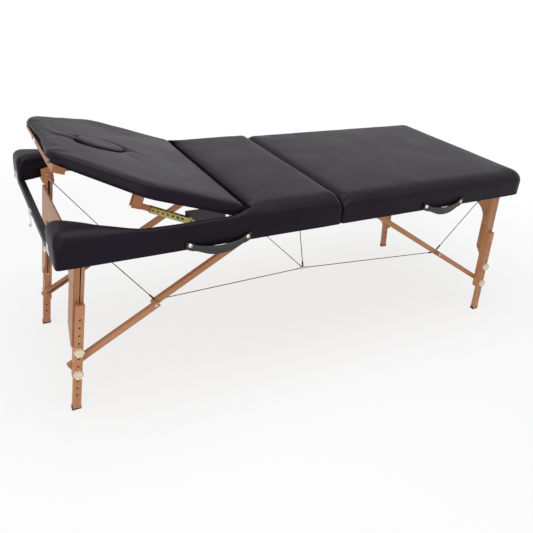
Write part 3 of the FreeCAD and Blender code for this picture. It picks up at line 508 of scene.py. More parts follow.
def link_mesh(name: str, bm: Mesh, material: Finish) -> Piece:
    """Turn a bmesh into a smooth-shaded object of the scene.

    Args:
        name: name of the piece.
        bm: the mesh, which is freed.
        material: its first material.

    Returns:
        The new object.
    """
    mesh = bpy.data.meshes.new(name)
    bm.to_mesh(mesh)
    bm.free()
    mesh.materials.append(material)
    shade(mesh)
    piece = bpy.data.objects.new(name, mesh)
    bpy.context.scene.collection.objects.link(piece)
    return piece


def bake_modifiers(piece: Piece) -> None:
    """Apply every modifier of a piece to its mesh."""
    graph = bpy.context.evaluated_depsgraph_get()
    graph.update()
    made = bpy.data.meshes.new_from_object(piece.evaluated_get(graph), depsgraph=graph)
    piece.modifiers.clear()
    old = piece.data
    piece.data = made
    bpy.data.meshes.remove(old)
    shade(made)


def subdivide(piece: Piece, levels: int = 1) -> None:
    """Smooth a piece with a subdivision surface and apply it."""
    modifier = piece.modifiers.new("subdivide", "SUBSURF")
    modifier.levels = levels
    modifier.render_levels = levels
    bake_modifiers(piece)


def remesh(piece: Piece, voxel: float, rounds: int = 2) -> None:
    """Remesh a piece evenly and take the steps of the voxels out of it.

    Args:
        piece: the mesh object; its other modifiers are applied first.
        voxel: size of a cell.
        rounds: how often it is smoothed.
    """
    modifier = piece.modifiers.new("remesh", "REMESH")
    modifier.mode = "VOXEL"
    modifier.voxel_size = voxel
    bake_modifiers(piece)
    bm = bmesh.new()
    bm.from_mesh(piece.data)
    for _ in range(rounds):
        bmesh.ops.smooth_vert(
            bm, verts=bm.verts, factor=0.5, use_axis_x=True, use_axis_y=True, use_axis_z=True
        )
    bm.to_mesh(piece.data)
    bm.free()


def round_edges(bm: Mesh, edges: Sequence[bmesh.types.BMEdge], width: float, segments: int) -> None:
    """Round some edges of a mesh, as far as width, in a number of segments."""
    bmesh.ops.bevel(
        bm, geom=edges, offset=width, offset_type="OFFSET", affect="EDGES",
        segments=segments, profile=0.5, material=-1,
    )


def round_top(bm: Mesh, top: float, width: float) -> None:
    """Round the edges that lie at the top of a block."""
    rim = [edge for edge in bm.edges if all(v.co.z > top - TINY for v in edge.verts)]
    round_edges(bm, rim, width, 4)


def raise_block(bm: Mesh, height: float) -> None:
    """Raise a flat face into an upright block."""
    made = bmesh.ops.extrude_face_region(bm, geom=bm.faces[:])["geom"]
    tops = [item for item in made if isinstance(item, bmesh.types.BMVert)]
    bmesh.ops.translate(bm, verts=tops, vec=(0.0, 0.0, height))


def ease_rims(bm: Mesh, width: float) -> None:
    """Round the rims of a turned piece, where its sides meet its flat ends."""
    rims = [edge for edge in bm.edges if any(len(face.verts) > 4 for face in edge.link_faces)]
    round_edges(bm, rims, width, 2)


def turned(
    tip: Vector, along: Vector, length: float, start_r: float, end_r: float, sides: int = 20
) -> Mesh:
    """A turned piece along a line.

    Args:
        tip: middle of its first end.
        along: which way it runs.
        length: its length.
        start_r: radius at the first end.
        end_r: radius at the other end.
        sides: faces round it.

    Returns:
        The closed mesh.
    """
    turn = along.normalized().to_track_quat("Z", "Y").to_matrix().to_4x4()
    place = Matrix.Translation(tip + along.normalized() * length / 2) @ turn
    bm = bmesh.new()
    bmesh.ops.create_cone(
        bm, cap_ends=True, segments=sides, radius1=start_r, radius2=end_r, depth=length,
        matrix=place,
    )
    return bm


def button(centre: Vector, radius: float, rise: float, sides: int, rings: int) -> Mesh:
    """A ball flattened along Y, with its radius in X and Z and its rise in Y."""
    bm = bmesh.new()
    bmesh.ops.create_uvsphere(bm, u_segments=sides, v_segments=rings, radius=radius)
    bmesh.ops.scale(bm, vec=(1.0, rise / radius, 1.0), verts=bm.verts)
    bmesh.ops.translate(bm, vec=centre, verts=bm.verts)
    return bm


@dataclass(frozen=True)
class ClothPass:
    """A short cloth simulation that swells a cover over its foam."""

    pressure: float = 4.0
    frames: int = 20
    cap: float = 0.0016
    quality: int = 4
    mass: float = 0.4
    stretching: float = 20.0
    shearing: float = 10.0
    bending: float = 4.0

    def settle(self, piece: Piece, pinned: Sequence[int]) -> None:
        """Simulate a piece and keep the result within the cap.

        Args:
            piece: the mesh object to swell.
            pinned: numbers of the vertices that stay in place.
        """
        group = piece.vertex_groups.new(name="held")
        group.add(list(pinned), 1.0, "REPLACE")
        cloth = piece.modifiers.new("settle", "CLOTH")
        settings = cloth.settings
        settings.quality = self.quality
        settings.mass = self.mass
        settings.tension_stiffness = self.stretching
        settings.compression_stiffness = self.stretching
        settings.shear_stiffness = self.shearing
        settings.bending_stiffness = self.bending
        settings.vertex_group_mass = group.name
        settings.use_pressure = True
        settings.uniform_pressure_force = self.pressure
        settings.effector_weights.gravity = 0.0
        cloth.point_cache.frame_start = 1
        cloth.point_cache.frame_end = self.frames
        scene = bpy.context.scene
        for frame in range(1, self.frames + 1):
            scene.frame_set(frame)
        solved = piece.evaluated_get(bpy.context.evaluated_depsgraph_get()).data
        moved = [vertex.co.copy() for vertex in solved.vertices]
        piece.modifiers.clear()
        piece.vertex_groups.clear()
        for vertex, target in zip(piece.data.vertices, moved):
            shift = target - vertex.co
            if shift.length > self.cap:
                shift *= self.cap / shift.length
            vertex.co += shift
        scene.frame_set(1)


@dataclass(frozen=True)
class Crease:
    """A short fold pressed into a cover, with a soft lip on both sides."""

    start: Triple
    end: Triple
    width: float = 0.006
    depth: float = 0.0034
    lip: float = 0.45
    lip_place: float = 1.9

    def lift(self, point: Vector) -> float:
        """How far the cover moves out at a point; negative is inwards."""
        start, end = Vector(self.start), Vector(self.end)
        run = end - start
        share = max(0.0, min(1.0, (point - start).dot(run) / run.length_squared))
        away = (point - start - run * share).length / self.width
        taper = math.sqrt(max(0.0, 1.0 - abs(2.0 * share - 1.0) ** 3))
        lip = self.lip * math.exp(-((away - self.lip_place) ** 2))
        return self.depth * taper * (lip - math.exp(-(away**2)))


def press(piece: Piece, lift: Callable[[Vector], float]) -> None:
    """Move every vertex of a piece along its normal, as far as lift says at its place."""
    moves = [(vertex, vertex.normal.copy(), lift(vertex.co)) for vertex in piece.data.vertices]
    for vertex, normal, move in moves:
        vertex.co += normal * move
    piece.data.update()


@dataclass(frozen=True)
class Roll:
    """How an edge rolls over: its reach in plan at the top and at the rim, and its drop."""

    top: float
    rim: float
    drop: float


Wall = tuple[float, int, int, Roll]


@dataclass
class Cover:
    """A vinyl cover over foam: a top that rolls over into sides that hang to the rim."""

    name: str
    body: str
    nodes: tuple[str, ...]
    deck: str
    creases: tuple[Crease, ...] = ()
    cell: float = 0.0105
    skin: float = 0.0050
    deck_gap: float = 0.0006
    crown: float = 0.004
    fill: float = 0.85
    wall_hold: float = 0.012
    wall_rows: tuple[float, ...] = (0.05, 0.11, 0.19, 0.28, 0.40, 0.55, 0.77, 1.0)
    waves: tuple[tuple[float, float], ...] = ((9.0, 0.0009), (31.0, 0.0002))

    def __post_init__(self) -> None:
        """Read the cover's box from the nodes that it stands for."""
        boxes = [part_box(node) for node in self.nodes]
        self.low = Vector(min(box[0][k] for box in boxes) for k in range(3))
        self.high = Vector(max(box[1][k] for box in boxes) for k in range(3))
        self.deck_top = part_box(self.deck)[1].z

    def lines(self) -> tuple[list[float], list[float]]:
        """Places of the grid's lines along X and Y before any mapping."""
        return self._even(self.low.x, self.high.x), self._even(self.low.y, self.high.y)

    def _even(self, low: float, high: float) -> list[float]:
        """Evenly spaced lines about one cell apart."""
        count = max(2, round((high - low) / self.cell))
        return [low + (high - low) * k / count for k in range(count + 1)]

    def spread(self, x: float, y: float) -> tuple[float, float]:
        """Where a grid point goes in plan."""
        return x, y

    def is_open(self, x: float, y: float) -> bool:
        """Whether a grid cell is cut away."""
        return False

    def top(self, x: float, y: float) -> float:
        """Height of the top before its edges roll over."""
        middle = (self.low.x + self.high.x) / 2
        half = (self.high.x - self.low.x) / 2
        swell = (1 - (y / self.high.y) ** 2) * (1 - ((x - middle) / half) ** 2)
        return self.high.z - self.crown * (1 - swell)

    def foot(self, x: float, y: float) -> float:
        """Height at which the wall below a boundary point ends."""
        return self.low.z

    def walls(self, x: float, y: float) -> list[Wall]:
        """Walls near a point: distance inwards, axis, outward sign and roll."""
        raise NotImplementedError

    def lattice(self) -> Mesh:
        """The flat grid of the top with its openings cut away, put at its heights."""
        x_lines, y_lines = self.lines()
        columns, rows = len(x_lines) - 1, len(y_lines) - 1
        bm = bmesh.new()
        bmesh.ops.create_grid(bm, x_segments=columns, y_segments=rows, size=1.0)
        for vertex in bm.verts:
            column = round((vertex.co.x + 1.0) / 2.0 * columns)
            row = round((vertex.co.y + 1.0) / 2.0 * rows)
            vertex.co = (x_lines[column], y_lines[row], 0.0)
        cut = [face for face in bm.faces if self.is_open(*face.calc_center_median().xy)]
        bmesh.ops.delete(bm, geom=cut, context="FACES")
        for vertex in bm.verts:
            x, y = self.spread(*vertex.co.xy)
            vertex.co = (x, y, self.top(x, y))
        return bm

    def hang_walls(self, bm: Mesh) -> None:
        """Extrude the boundary down to its foot in rows."""
        rim = {v for e in bm.edges if e.is_boundary for v in e.verts}
        tops = {vertex: (vertex.co.z, self.foot(*vertex.co.xy)) for vertex in rim}
        for share in self.wall_rows:
            edges = [edge for edge in bm.edges if edge.is_boundary]
            before = {v: tops[v] for e in edges for v in e.verts}
            made = bmesh.ops.extrude_edge_only(bm, edges=edges)["geom"]
            fresh = [item for item in made if isinstance(item, bmesh.types.BMVert)]
            plan = {self._key(v): ends for v, ends in before.items()}
            tops = {}
            for vertex in fresh:
                high, low = plan[self._key(vertex)]
                vertex.co.z = high + (low - high) * share
                tops[vertex] = (high, low)

    @staticmethod
    def _key(vertex: bmesh.types.BMVert) -> tuple[float, float]:
        """A boundary point's place in plan, to match it with its copy."""
        return round(vertex.co.x, 6), round(vertex.co.y, 6)

    def roll_edges(self, bm: Mesh) -> None:
        """Round the sharp block over at its edges."""
        for vertex in bm.verts:
            vertex.co = self.rolled(vertex.co)

    def rolled(self, point: Vector) -> Vector:
        """Where a point of the sharp block goes once its edges are rolled."""
        top = self.top(point.x, point.y)
        upper = smooth(self.deck_top - self.wall_hold, top, point.z)
        bends: list[tuple[float, int, int, float]] = []
        weight = drop = 0.0
        for distance, axis, sign, roll in self.walls(point.x, point.y):
            reach = roll.rim + (roll.top - roll.rim) * upper
            share = max(0.0, 1.0 - distance / reach)
            if share > 0.0:
                bends.append((share, axis, sign, reach))
                weight += share**2
                drop += share**2 * roll.drop
        if not bends:
            return point.copy()
        drop /= weight
        fall = max(0.0, 1.0 - (top - point.z) / drop)
        length = math.sqrt(weight + fall**2)
        moved = point.copy()
        if length > 1.0:
            ease = 1.0 - 1.0 / length
            for share, axis, sign, reach in bends:
                moved[axis] -= sign * reach * share * ease
            moved.z -= drop * fall * ease
        return moved

    def close_under(self, piece: Piece) -> None:
        """Turn the rim in, raise it to the deck and close the underside."""
        bm = bmesh.new()
        bm.from_mesh(piece.data)
        bm.normal_update()
        rim = [edge for edge in bm.edges if edge.is_boundary]
        inward = {}
        for edge in rim:
            for vertex in edge.verts:
                flat = Vector((vertex.normal.x, vertex.normal.y, 0.0))
                inward[self._key(vertex)] = -flat.normalized()
        for edge in rim:
            edge.smooth = False
        for raise_it in (False, True):
            edges = [edge for edge in bm.edges if edge.is_boundary]
            made = bmesh.ops.extrude_edge_only(bm, edges=edges)["geom"]
            for item in made:
                if isinstance(item, bmesh.types.BMVert):
                    if raise_it:
                        item.co.z = self.deck_top + self.deck_gap
                    else:
                        item.co += inward[self._key(item)] * self.skin
                elif isinstance(item, bmesh.types.BMEdge):
                    item.smooth = False
        bmesh.ops.holes_fill(bm, edges=[edge for edge in bm.edges if edge.is_boundary], sides=0)
        flat_faces = [face for face in bm.faces if len(face.verts) > 4]
        bmesh.ops.triangulate(bm, faces=flat_faces)
        bmesh.ops.recalc_face_normals(bm, faces=bm.faces)
        bm.to_mesh(piece.data)
        bm.free()

    def lift(self, point: Vector) -> float:
        """Folds and the faint unevenness of stretched vinyl at a point."""
        wavy = sum(noise.noise(point * scale) * height for scale, height in self.waves)
        return wavy + sum(crease.lift(point) for crease in self.creases)

    def build(self, vinyl: Finish) -> Piece:
        """Make the cover.

        Args:
            vinyl: its finish.

        Returns:
            The piece, riding on its body.
        """
        bm = self.lattice()
        self.hang_walls(bm)
        self.roll_edges(bm)
        bmesh.ops.recalc_face_normals(bm, faces=bm.faces)
        if max(bm.faces, key=lambda face: face.calc_area()).normal.z < 0:
            bmesh.ops.reverse_faces(bm, faces=bm.faces)
        piece = link_mesh(self.name, bm, vinyl)
        ClothPass().settle(piece, self._rim(piece))
        subdivide(piece)
        press(piece, self.lift)
        self.close_under(piece)
        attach(piece, self.body)
        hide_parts(*self.nodes)
        return piece

    @staticmethod
    def _rim(piece: Piece) -> list[int]:
        """Numbers of the vertices on a piece's open boundary."""
        bm = bmesh.new()
        bm.from_mesh(piece.data)
        found = {vertex.index for edge in bm.edges if edge.is_boundary for vertex in edge.verts}
        bm.free()
        return sorted(found)


@dataclass
class FootPad(Cover):
    """The large pad of the foot half."""

    side: Roll = Roll(0.058, 0.030, 0.046)
    end: Roll = Roll(0.064, 0.058, 0.044)
    fold: Roll = Roll(0.028, 0.005, 0.028)
    corner_run: float = 0.2

    def walls(self, x: float, y: float) -> list[Wall]:
        """Long side, foot end and fold end."""
        sign = 1 if y > 0 else -1
        corner = smooth(self.low.x + self.corner_run, self.high.x - self.corner_run, x)
        rim = self.fold.rim + (self.end.rim - self.fold.rim) * corner
        side = Roll(self.side.top, rim, self.side.drop)
        return [
            (self.high.y - abs(y), 1, sign, side),
            (self.high.x - x, 0, 1, self.end),
            (x - self.low.x, 0, -1, self.fold),
        ]


@dataclass
class HeadCover(Cover):
    """The seat and both arms, under one cover that opens for the backrest."""

    side: Roll = Roll(0.058, 0.008, 0.046)
    fold: Roll = Roll(0.028, 0.005, 0.028)
    front: Roll = Roll(0.022, 0.010, 0.026)
    head: Roll = Roll(0.034, 0.009, 0.030)
    inner_rim: float = 0.005
    arm_narrow: float = 0.024
    arm_wide: float = 0.130
    arm_taper: float = 0.240
    arm_low: float = 0.674
    arm_high: float = 0.696
    rise_power: float = 0.6
    roll_limit: float = 0.032
    roll_share: float = 0.45
    shoulder: float = 0.075
    fan: float = 0.10
    fan_width: float = 0.084
    strip_cells: int = 12
    flap_z: float = 0.613
    front_z: float = 0.6485
    front_hold: float = 0.15
    front_run: float = 0.05

    def __post_init__(self) -> None:
        """Read the boxes of the seat and the arms."""
        super().__post_init__()
        self.front_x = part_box("seat_pad")[0].x
        self.strip = self.high.y - self.arm_narrow

    def lines(self) -> tuple[list[float], list[float]]:
        """Lines along X break at the seat's front, and along Y at the arms."""
        arms = self._even(self.low.x, self.front_x)
        seat = self._even(self.front_x, self.high.x)
        middle = self._even(-self.strip, self.strip)
        steps = range(1, self.strip_cells + 1)
        edge = [self.strip + self.arm_narrow * step / self.strip_cells for step in steps]
        return arms + seat[1:], [-y for y in reversed(edge)] + middle + edge

    def is_open(self, x: float, y: float) -> bool:
        """The backrest's opening between the arms."""
        return x < self.front_x and abs(y) < self.strip

    def inner(self, x: float) -> float:
        """Distance of an arm's inner face from mid-width."""
        share = smooth(0.0, self.arm_taper, self.low.x + self.arm_taper - x)
        return self.strip - (self.arm_wide - self.arm_narrow) * share

    def spread(self, x: float, y: float) -> tuple[float, float]:
        """Widen the edge strip along the arm and fan it out over the seat."""
        sign = 1 if y > 0 else -1
        if x <= self.front_x:
            width = self.high.y - self.inner(x)
        else:
            fanned = smooth(self.front_x, self.front_x + self.fan, x)
            width = self.arm_narrow + (self.fan_width - self.arm_narrow) * fanned
        if abs(y) >= self.strip - TINY:
            share = (self.high.y - abs(y)) / self.arm_narrow
            return x, sign * (self.high.y - share * width)
        return x, y * (self.high.y - width) / self.strip

    def crest(self, x: float) -> float:
        """Height of the arm's crown."""
        share = max(0.0, min(1.0, (self.low.x + self.arm_taper - x) / self.arm_taper))
        return self.arm_low + (self.arm_high - self.arm_low) * share**self.rise_power

    def top(self, x: float, y: float) -> float:
        """The seat's top, which falls to the arm's crown past the seat's front."""
        middle = (self.front_x + self.high.x) / 2
        half = (self.high.x - self.front_x) / 2
        inside = max(-1.0, min(1.0, (x - middle) / half))
        seat = self.high.z - self.crown * (1 - (1 - (y / self.high.y) ** 2) * (1 - inside**2))
        if x >= self.front_x:
            return seat
        share = smooth(self.front_x - self.shoulder, self.front_x, x)
        return self.crest(x) + (seat - self.crest(x)) * share

    def foot(self, x: float, y: float) -> float:
        """Outer walls end at the rim, the arms' inner walls at a flap, the front at the deck."""
        outside = abs(y) >= self.high.y - TINY or x < self.low.x + TINY
        if outside or x > self.front_x + TINY:
            return self.low.z
        if abs(x - self.front_x) < TINY and abs(y) < self.strip - TINY:
            return self.front_z
        return self.flap_z

    def walls(self, x: float, y: float) -> list[Wall]:
        """Outer side, fold, arm ends, arm insides and the seat's front."""
        sign = 1 if y > 0 else -1
        seat_start = self.front_x + self.shoulder / 2
        arm = 1.0 - smooth(self.front_x - self.shoulder, seat_start, x)
        width = self.high.y - self.inner(min(x, self.front_x))
        soft = min(self.roll_limit, self.roll_share * width)
        reach = self.side.top + (soft - self.side.top) * arm
        drop = self.side.drop + (soft - self.side.drop) * arm
        found = [
            (self.high.y - abs(y), 1, sign, Roll(reach, self.side.rim, drop)),
            (self.high.x - x, 0, 1, self.fold),
        ]
        if x <= self.front_x + TINY and abs(y) > self.inner(x) - TINY:
            found.append((abs(y) - self.inner(x), 1, -sign, Roll(soft, self.inner_rim, soft)))
            found.append((x - self.low.x, 0, -1, self.head))
        if x >= self.front_x - TINY and abs(y) < self.strip:
            hold = 1.0 - smooth(self.strip - self.front_run, self.strip, abs(y))
            hold = max(self.front_hold, hold)
            front = Roll(self.front.top * hold, self.front.rim * hold, self.front.drop * hold)
            found.append((x - self.front_x, 0, -1, front))
        return found


class Backrest:
    """Places on the raised backrest, worked out from its hinge."""

    def __init__(self) -> None:
        """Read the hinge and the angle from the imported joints."""
        self.pivot = joint_place("backrest_tilt")
        low = packed_joint("backrest_tilt")["range_deg"][0]
        self.turn = Matrix.Rotation(math.radians(-low), 3, "Y")

    def raised(self, point: Vector) -> Vector:
        """From the flat drawing to the raised backrest."""
        return self.pivot + self.turn @ (point - self.pivot)


@dataclass
class BackrestPad:
    """The backrest's boxed cushion with its oval face hole."""

    name: str = "backrest_cushion"
    head_x: float = -0.9285
    bend_x: float = -0.684
    hinge_x: float = -0.3515
    half_hinge: float = 0.3465
    half_head: float = 0.1885
    low: float = 0.6542
    high: float = 0.6885
    skirt: float = 0.0064
    skirt_top: float = 0.010
    lean: float = 0.018
    droop: float = 0.011
    droop_run: float = 0.10
    scallop: float = 0.014
    scallop_radius: float = 0.60
    head_radius: float = 0.060
    bend_radius: float = 0.130
    hinge_radius: float = 0.016
    edge: float = 0.015
    voxel: float = 0.006
    plug_x: float = -0.734
    plug_length: float = 0.1515
    plug_width: float = 0.1055
    hole_spare: float = 0.02
    wave_scale: float = 10.0
    wave_height: float = 0.0008
    pucker_reach: float = 0.045
    pucker_depth: float = 0.0011
    pucker_turn: float = 0.35
    pucker_power: int = 3
    ripples: float = 9.0
    ripple_sway: float = 5.0
    ripple_scale: float = 11.0
    sink_depth: float = 0.0026
    sink_reach: float = 0.018
    dimple_depth: float = 0.0042
    dimple_reach: float = 0.020
    creases: tuple[Crease, ...] = (
        Crease((-0.652, -0.006, 0.6885), (-0.560, -0.040, 0.6885), 0.007, 0.0012),
        Crease((-0.650, 0.010, 0.6885), (-0.600, 0.014, 0.6885), 0.005, 0.0010),
    )

    def __post_init__(self) -> None:
        """Find the backrest's place."""
        self.place = Backrest()

    def outline(self) -> list[Triple]:
        """Corners of the cushion in plan, with their radii."""
        near = [
            (self.head_x, -self.half_head, self.head_radius),
            (self.bend_x, -self.half_hinge, self.bend_radius),
            (self.hinge_x, -self.half_hinge, self.hinge_radius),
        ]
        far = [(x, -y, radius) for x, y, radius in reversed(near)]
        return near + far + [(self.head_x + self.scallop, 0.0, self.scallop_radius)]

    def block(self) -> Mesh:
        """The boxed cushion, flat, with rounded corners and edges."""
        bm = bmesh.new()
        corners = [bm.verts.new((x, y, self.low - self.skirt)) for x, y, _ in self.outline()]
        bm.faces.new(corners)
        for vertex, (_, _, radius) in zip(corners, self.outline()):
            edges = [edge.other_vert(vertex).co - vertex.co for edge in vertex.link_edges]
            half_turn = (math.pi - edges[0].angle(edges[1])) / 2
            bmesh.ops.bevel(
                bm, geom=[vertex], offset=radius * math.tan(half_turn), offset_type="OFFSET",
                affect="VERTICES", segments=10, profile=0.5, material=-1,
            )
        raise_block(bm, self.high - self.low + self.skirt)
        round_top(bm, self.high, self.edge)
        for vertex in bm.verts:
            hinge = smooth(self.bend_x, self.hinge_x, vertex.co.x)
            rise = max(0.0, vertex.co.z - self.low) / (self.high - self.low)
            vertex.co.x -= self.lean * hinge * rise
            head = smooth(self.head_x + self.droop_run, self.head_x, vertex.co.x)
            vertex.co.z -= self.droop * head * rise
        bmesh.ops.recalc_face_normals(bm, faces=bm.faces)
        return bm

    def oval(self, grow: float, low: float, high: float) -> Mesh:
        """An upright oval solid at the face hole, grown in width, from low to high."""
        bm = bmesh.new()
        bmesh.ops.create_circle(bm, cap_ends=True, segments=72, radius=0.5)
        size = (self.plug_length + grow, self.plug_width + grow, 1.0)
        bmesh.ops.scale(bm, vec=size, verts=bm.verts)
        bmesh.ops.translate(bm, vec=(self.plug_x, 0.0, low), verts=bm.verts)
        raise_block(bm, high - low)
        bmesh.ops.recalc_face_normals(bm, faces=bm.faces)
        return bm

    def build(self, vinyl: Finish) -> Piece:
        """Make the cushion.

        Args:
            vinyl: its finish.

        Returns:
            The piece, riding on the backrest.
        """
        piece = link_mesh(self.name, self.block(), vinyl)
        oval = self.oval(0.0, self.low - self.hole_spare, self.high + self.hole_spare)
        cutter = link_mesh("face_hole", oval, vinyl)
        hole = piece.modifiers.new("hole", "BOOLEAN")
        hole.object = cutter
        hole.operation = "DIFFERENCE"
        remesh(piece, self.voxel)
        bpy.data.objects.remove(cutter)
        below = self.low + self.voxel / 2
        held = [v.index for v in piece.data.vertices if v.co.z < below]
        ClothPass().settle(piece, held)
        subdivide(piece)
        press(piece, self.lift)
        for vertex in piece.data.vertices:
            vertex.co.z = self.hemmed(vertex.co)
            vertex.co = self.place.raised(vertex.co)
        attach(piece, "backrest")
        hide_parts("backrest_pad")
        return piece

    def hemmed(self, point: Vector) -> float:
        """Height of a point once the skirt over the board's sides is drawn up at both ends."""
        start = self.low + self.skirt_top
        if point.z >= start:
            return point.z
        side = smooth(self.head_x, self.head_x + self.droop_run, point.x)
        side *= smooth(self.hinge_x, self.hinge_x - self.droop_run, point.x)
        hem = self.skirt_top + self.skirt * side
        return start - hem * min(1.0, (start - point.z) / (self.skirt_top + self.skirt))

    def lift(self, point: Vector) -> float:
        """Puckers round the face hole and the faint waves of the top panel."""
        wave = noise.noise(point * self.wave_scale) * self.wave_height
        if point.z < self.high - self.edge:
            return wave
        half_long, half_wide = self.plug_length / 2, self.plug_width / 2
        x, y = point.x - self.plug_x, point.y
        ring = math.sqrt((x / half_long) ** 2 + (y / half_wide) ** 2)
        away = max(0.0, ring - 1.0) * half_wide
        angle = math.atan2(y / half_wide, x / half_long)
        ends = abs(math.cos(angle + self.pucker_turn)) ** self.pucker_power
        sway = self.ripple_sway * noise.noise(point * self.ripple_scale)
        ripple = math.sin(angle * self.ripples + sway)
        pucker = math.exp(-away / self.pucker_reach) * ends * ripple * self.pucker_depth
        sink = -self.sink_depth * math.exp(-away / self.sink_reach)
        tip = math.hypot(abs(x) - half_long, y)
        sink -= self.dimple_depth * math.exp(-((tip / self.dimple_reach) ** 2))
        sink += sum(crease.lift(point) for crease in self.creases)
        return wave + pucker + sink


@dataclass
class FacePlug:
    """The oval plug that fills the face hole."""

    name: str = "face_plug_cushion"
    voxel: float = 0.004
    proud: float = 0.0004
    edge: float = 0.004
    gap: float = -0.0016
    board: float = 0.0078

    def build(self, pad: BackrestPad, vinyl: Finish) -> Piece:
        """Make the plug.

        Args:
            pad: the cushion that it fits.
            vinyl: its finish.

        Returns:
            The piece, riding on the plug's body.
        """
        bottom = pad.low - self.board
        top = pad.high + self.proud
        bm = pad.oval(self.gap, bottom, top)
        round_top(bm, top, self.edge)
        piece = link_mesh(self.name, bm, vinyl)
        remesh(piece, self.voxel)
        held = [v.index for v in piece.data.vertices if v.co.z < top - self.edge]
        ClothPass().settle(piece, held)
        subdivide(piece)
        for vertex in piece.data.vertices:
            vertex.co = pad.place.raised(vertex.co)
        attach(piece, "face_plug")
        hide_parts("face_plug")
        return piece


@dataclass
class RailCover:
    """Vinyl folded round the low head rail between the arms."""

    name: str = "head_rail_wrap"
    cell: float = 0.012
    wave_scale: float = 22.0
    wave_height: float = 0.0004

    def build(self, vinyl: Finish) -> Piece:
        """Make the wrap.

        Args:
            vinyl: its finish.

        Returns:
            The piece, riding on the head frame.
        """
        node = FRAME["nodes"]["head_rail_cover"]
        bm = bmesh.new()
        bm.from_mesh(node.data)
        bmesh.ops.remove_doubles(bm, verts=bm.verts, dist=TINY)
        bmesh.ops.dissolve_limit(bm, angle_limit=math.radians(1), verts=bm.verts, edges=bm.edges)
        half_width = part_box("head_rail_cover")[1].y
        ends = [(edge, *edge.verts) for edge in bm.edges]
        long_edges = [edge for edge, a, b in ends if abs(a.co.y - b.co.y) > half_width / 2]
        cuts = round(2 * half_width / self.cell)
        bmesh.ops.subdivide_edges(bm, edges=long_edges, cuts=cuts, use_grid_fill=True)
        piece = link_mesh(self.name, bm, vinyl)
        press(piece, self.lift)
        shade(piece.data, soft=False)
        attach(piece, "head_frame")
        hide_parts("head_rail_cover")
        return piece

    def lift(self, point: Vector) -> float:
        """Faint waves along the wrap."""
        return self.wave_height * noise.noise(Vector((0.0, point.y * self.wave_scale, 0.0)))


Route = tuple[Triple, ...]


@dataclass(frozen=True)
class Cable:
    """A taut wire rope with a crimped ferrule at its start and a sleeve at its end."""

    name: str
    body: str
    node: str
    points: Route
    diameter: float = 0.003
    fitting_length: float = 0.024
    fitting_radius: float = 0.0032
    fitting_rim: float = 0.0008
    deck_z: float = 0.646
    folded_share: float = 0.06
    MERGE = 1e-6

    def route(self, radius: float) -> bpy.types.Mesh:
        """Mesh of the route's smooth line.

        Args:
            radius: of a tube round the line, or 0 for the bare line.

        Returns:
            The line's points in order, or the tube.
        """
        data = bpy.data.curves.new(self.name, "CURVE")
        data.dimensions = "3D"
        data.bevel_depth = radius
        data.use_fill_caps = True
        spline = data.splines.new("NURBS")
        spline.points.add(len(self.points) - 1)
        for point, place in zip(spline.points, self.points):
            point.co = (*place, 1.0)
        spline.order_u = 3
        spline.use_endpoint_u = True
        curve = bpy.data.objects.new(self.name, data)
        mesh = bpy.data.meshes.new_from_object(curve)
        bpy.data.objects.remove(curve)
        bpy.data.curves.remove(data)
        return mesh

    def tube(self, rope: Finish) -> Piece:
        """The rope, with a UV map of metres along it and turns round it."""
        bm = bmesh.new()
        bm.from_mesh(self.route(self.diameter / 2))
        bmesh.ops.remove_doubles(bm, verts=bm.verts, dist=self.MERGE)
        bmesh.ops.recalc_face_normals(bm, faces=bm.faces)
        start = Vector(self.points[0])
        along = (Vector(self.points[-1]) - start).normalized()
        across = along.orthogonal().normalized()
        third = along.cross(across)
        layer = bm.loops.layers.uv.verify()
        for face in bm.faces:
            first = None
            for loop in face.loops:
                place = loop.vert.co - start
                turn = math.atan2(place.dot(third), place.dot(across)) / (2.0 * math.pi)
                first = turn if first is None else first
                loop[layer].uv = (place.dot(along), turn - round(turn - first))
        return link_mesh(self.name, bm, rope)

    def fitting(self, name: str, tip: int, inner: int, material: Finish) -> Piece:
        """A short tube crimped on one end of the rope.

        Args:
            name: what the fitting is.
            tip: number of the route's point at that end.
            inner: number of the next point.
            material: its finish.

        Returns:
            The piece.
        """
        end = Vector(self.points[tip])
        along, radius = Vector(self.points[inner]) - end, self.fitting_radius
        bm = turned(end, along, self.fitting_length, radius, radius)
        ease_rims(bm, self.fitting_rim)
        return link_mesh(f"{self.name}_{name}", bm, material)

    def build(self, finishes: Finishes) -> Piece:
        """Args:
            finishes: the table's finishes.

        Returns:
            The rope, riding on its frame half.
        """
        rope = self.tube(finishes.rope)
        ferrule = self.fitting("ferrule", 0, 1, finishes.steel)
        sleeve = self.fitting("sleeve", -1, -2, finishes.plastic)
        for piece, slot in ((rope, "cable"), (ferrule, "steel"), (sleeve, "black_plastic")):
            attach(piece, self.body)
            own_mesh(piece)
        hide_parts(self.node)
        path = [vertex.co.copy() for vertex in self.route(0.0).vertices]
        length = sum((after - before).length for before, after in zip(path, path[1:]))
        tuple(path[0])
        return rope


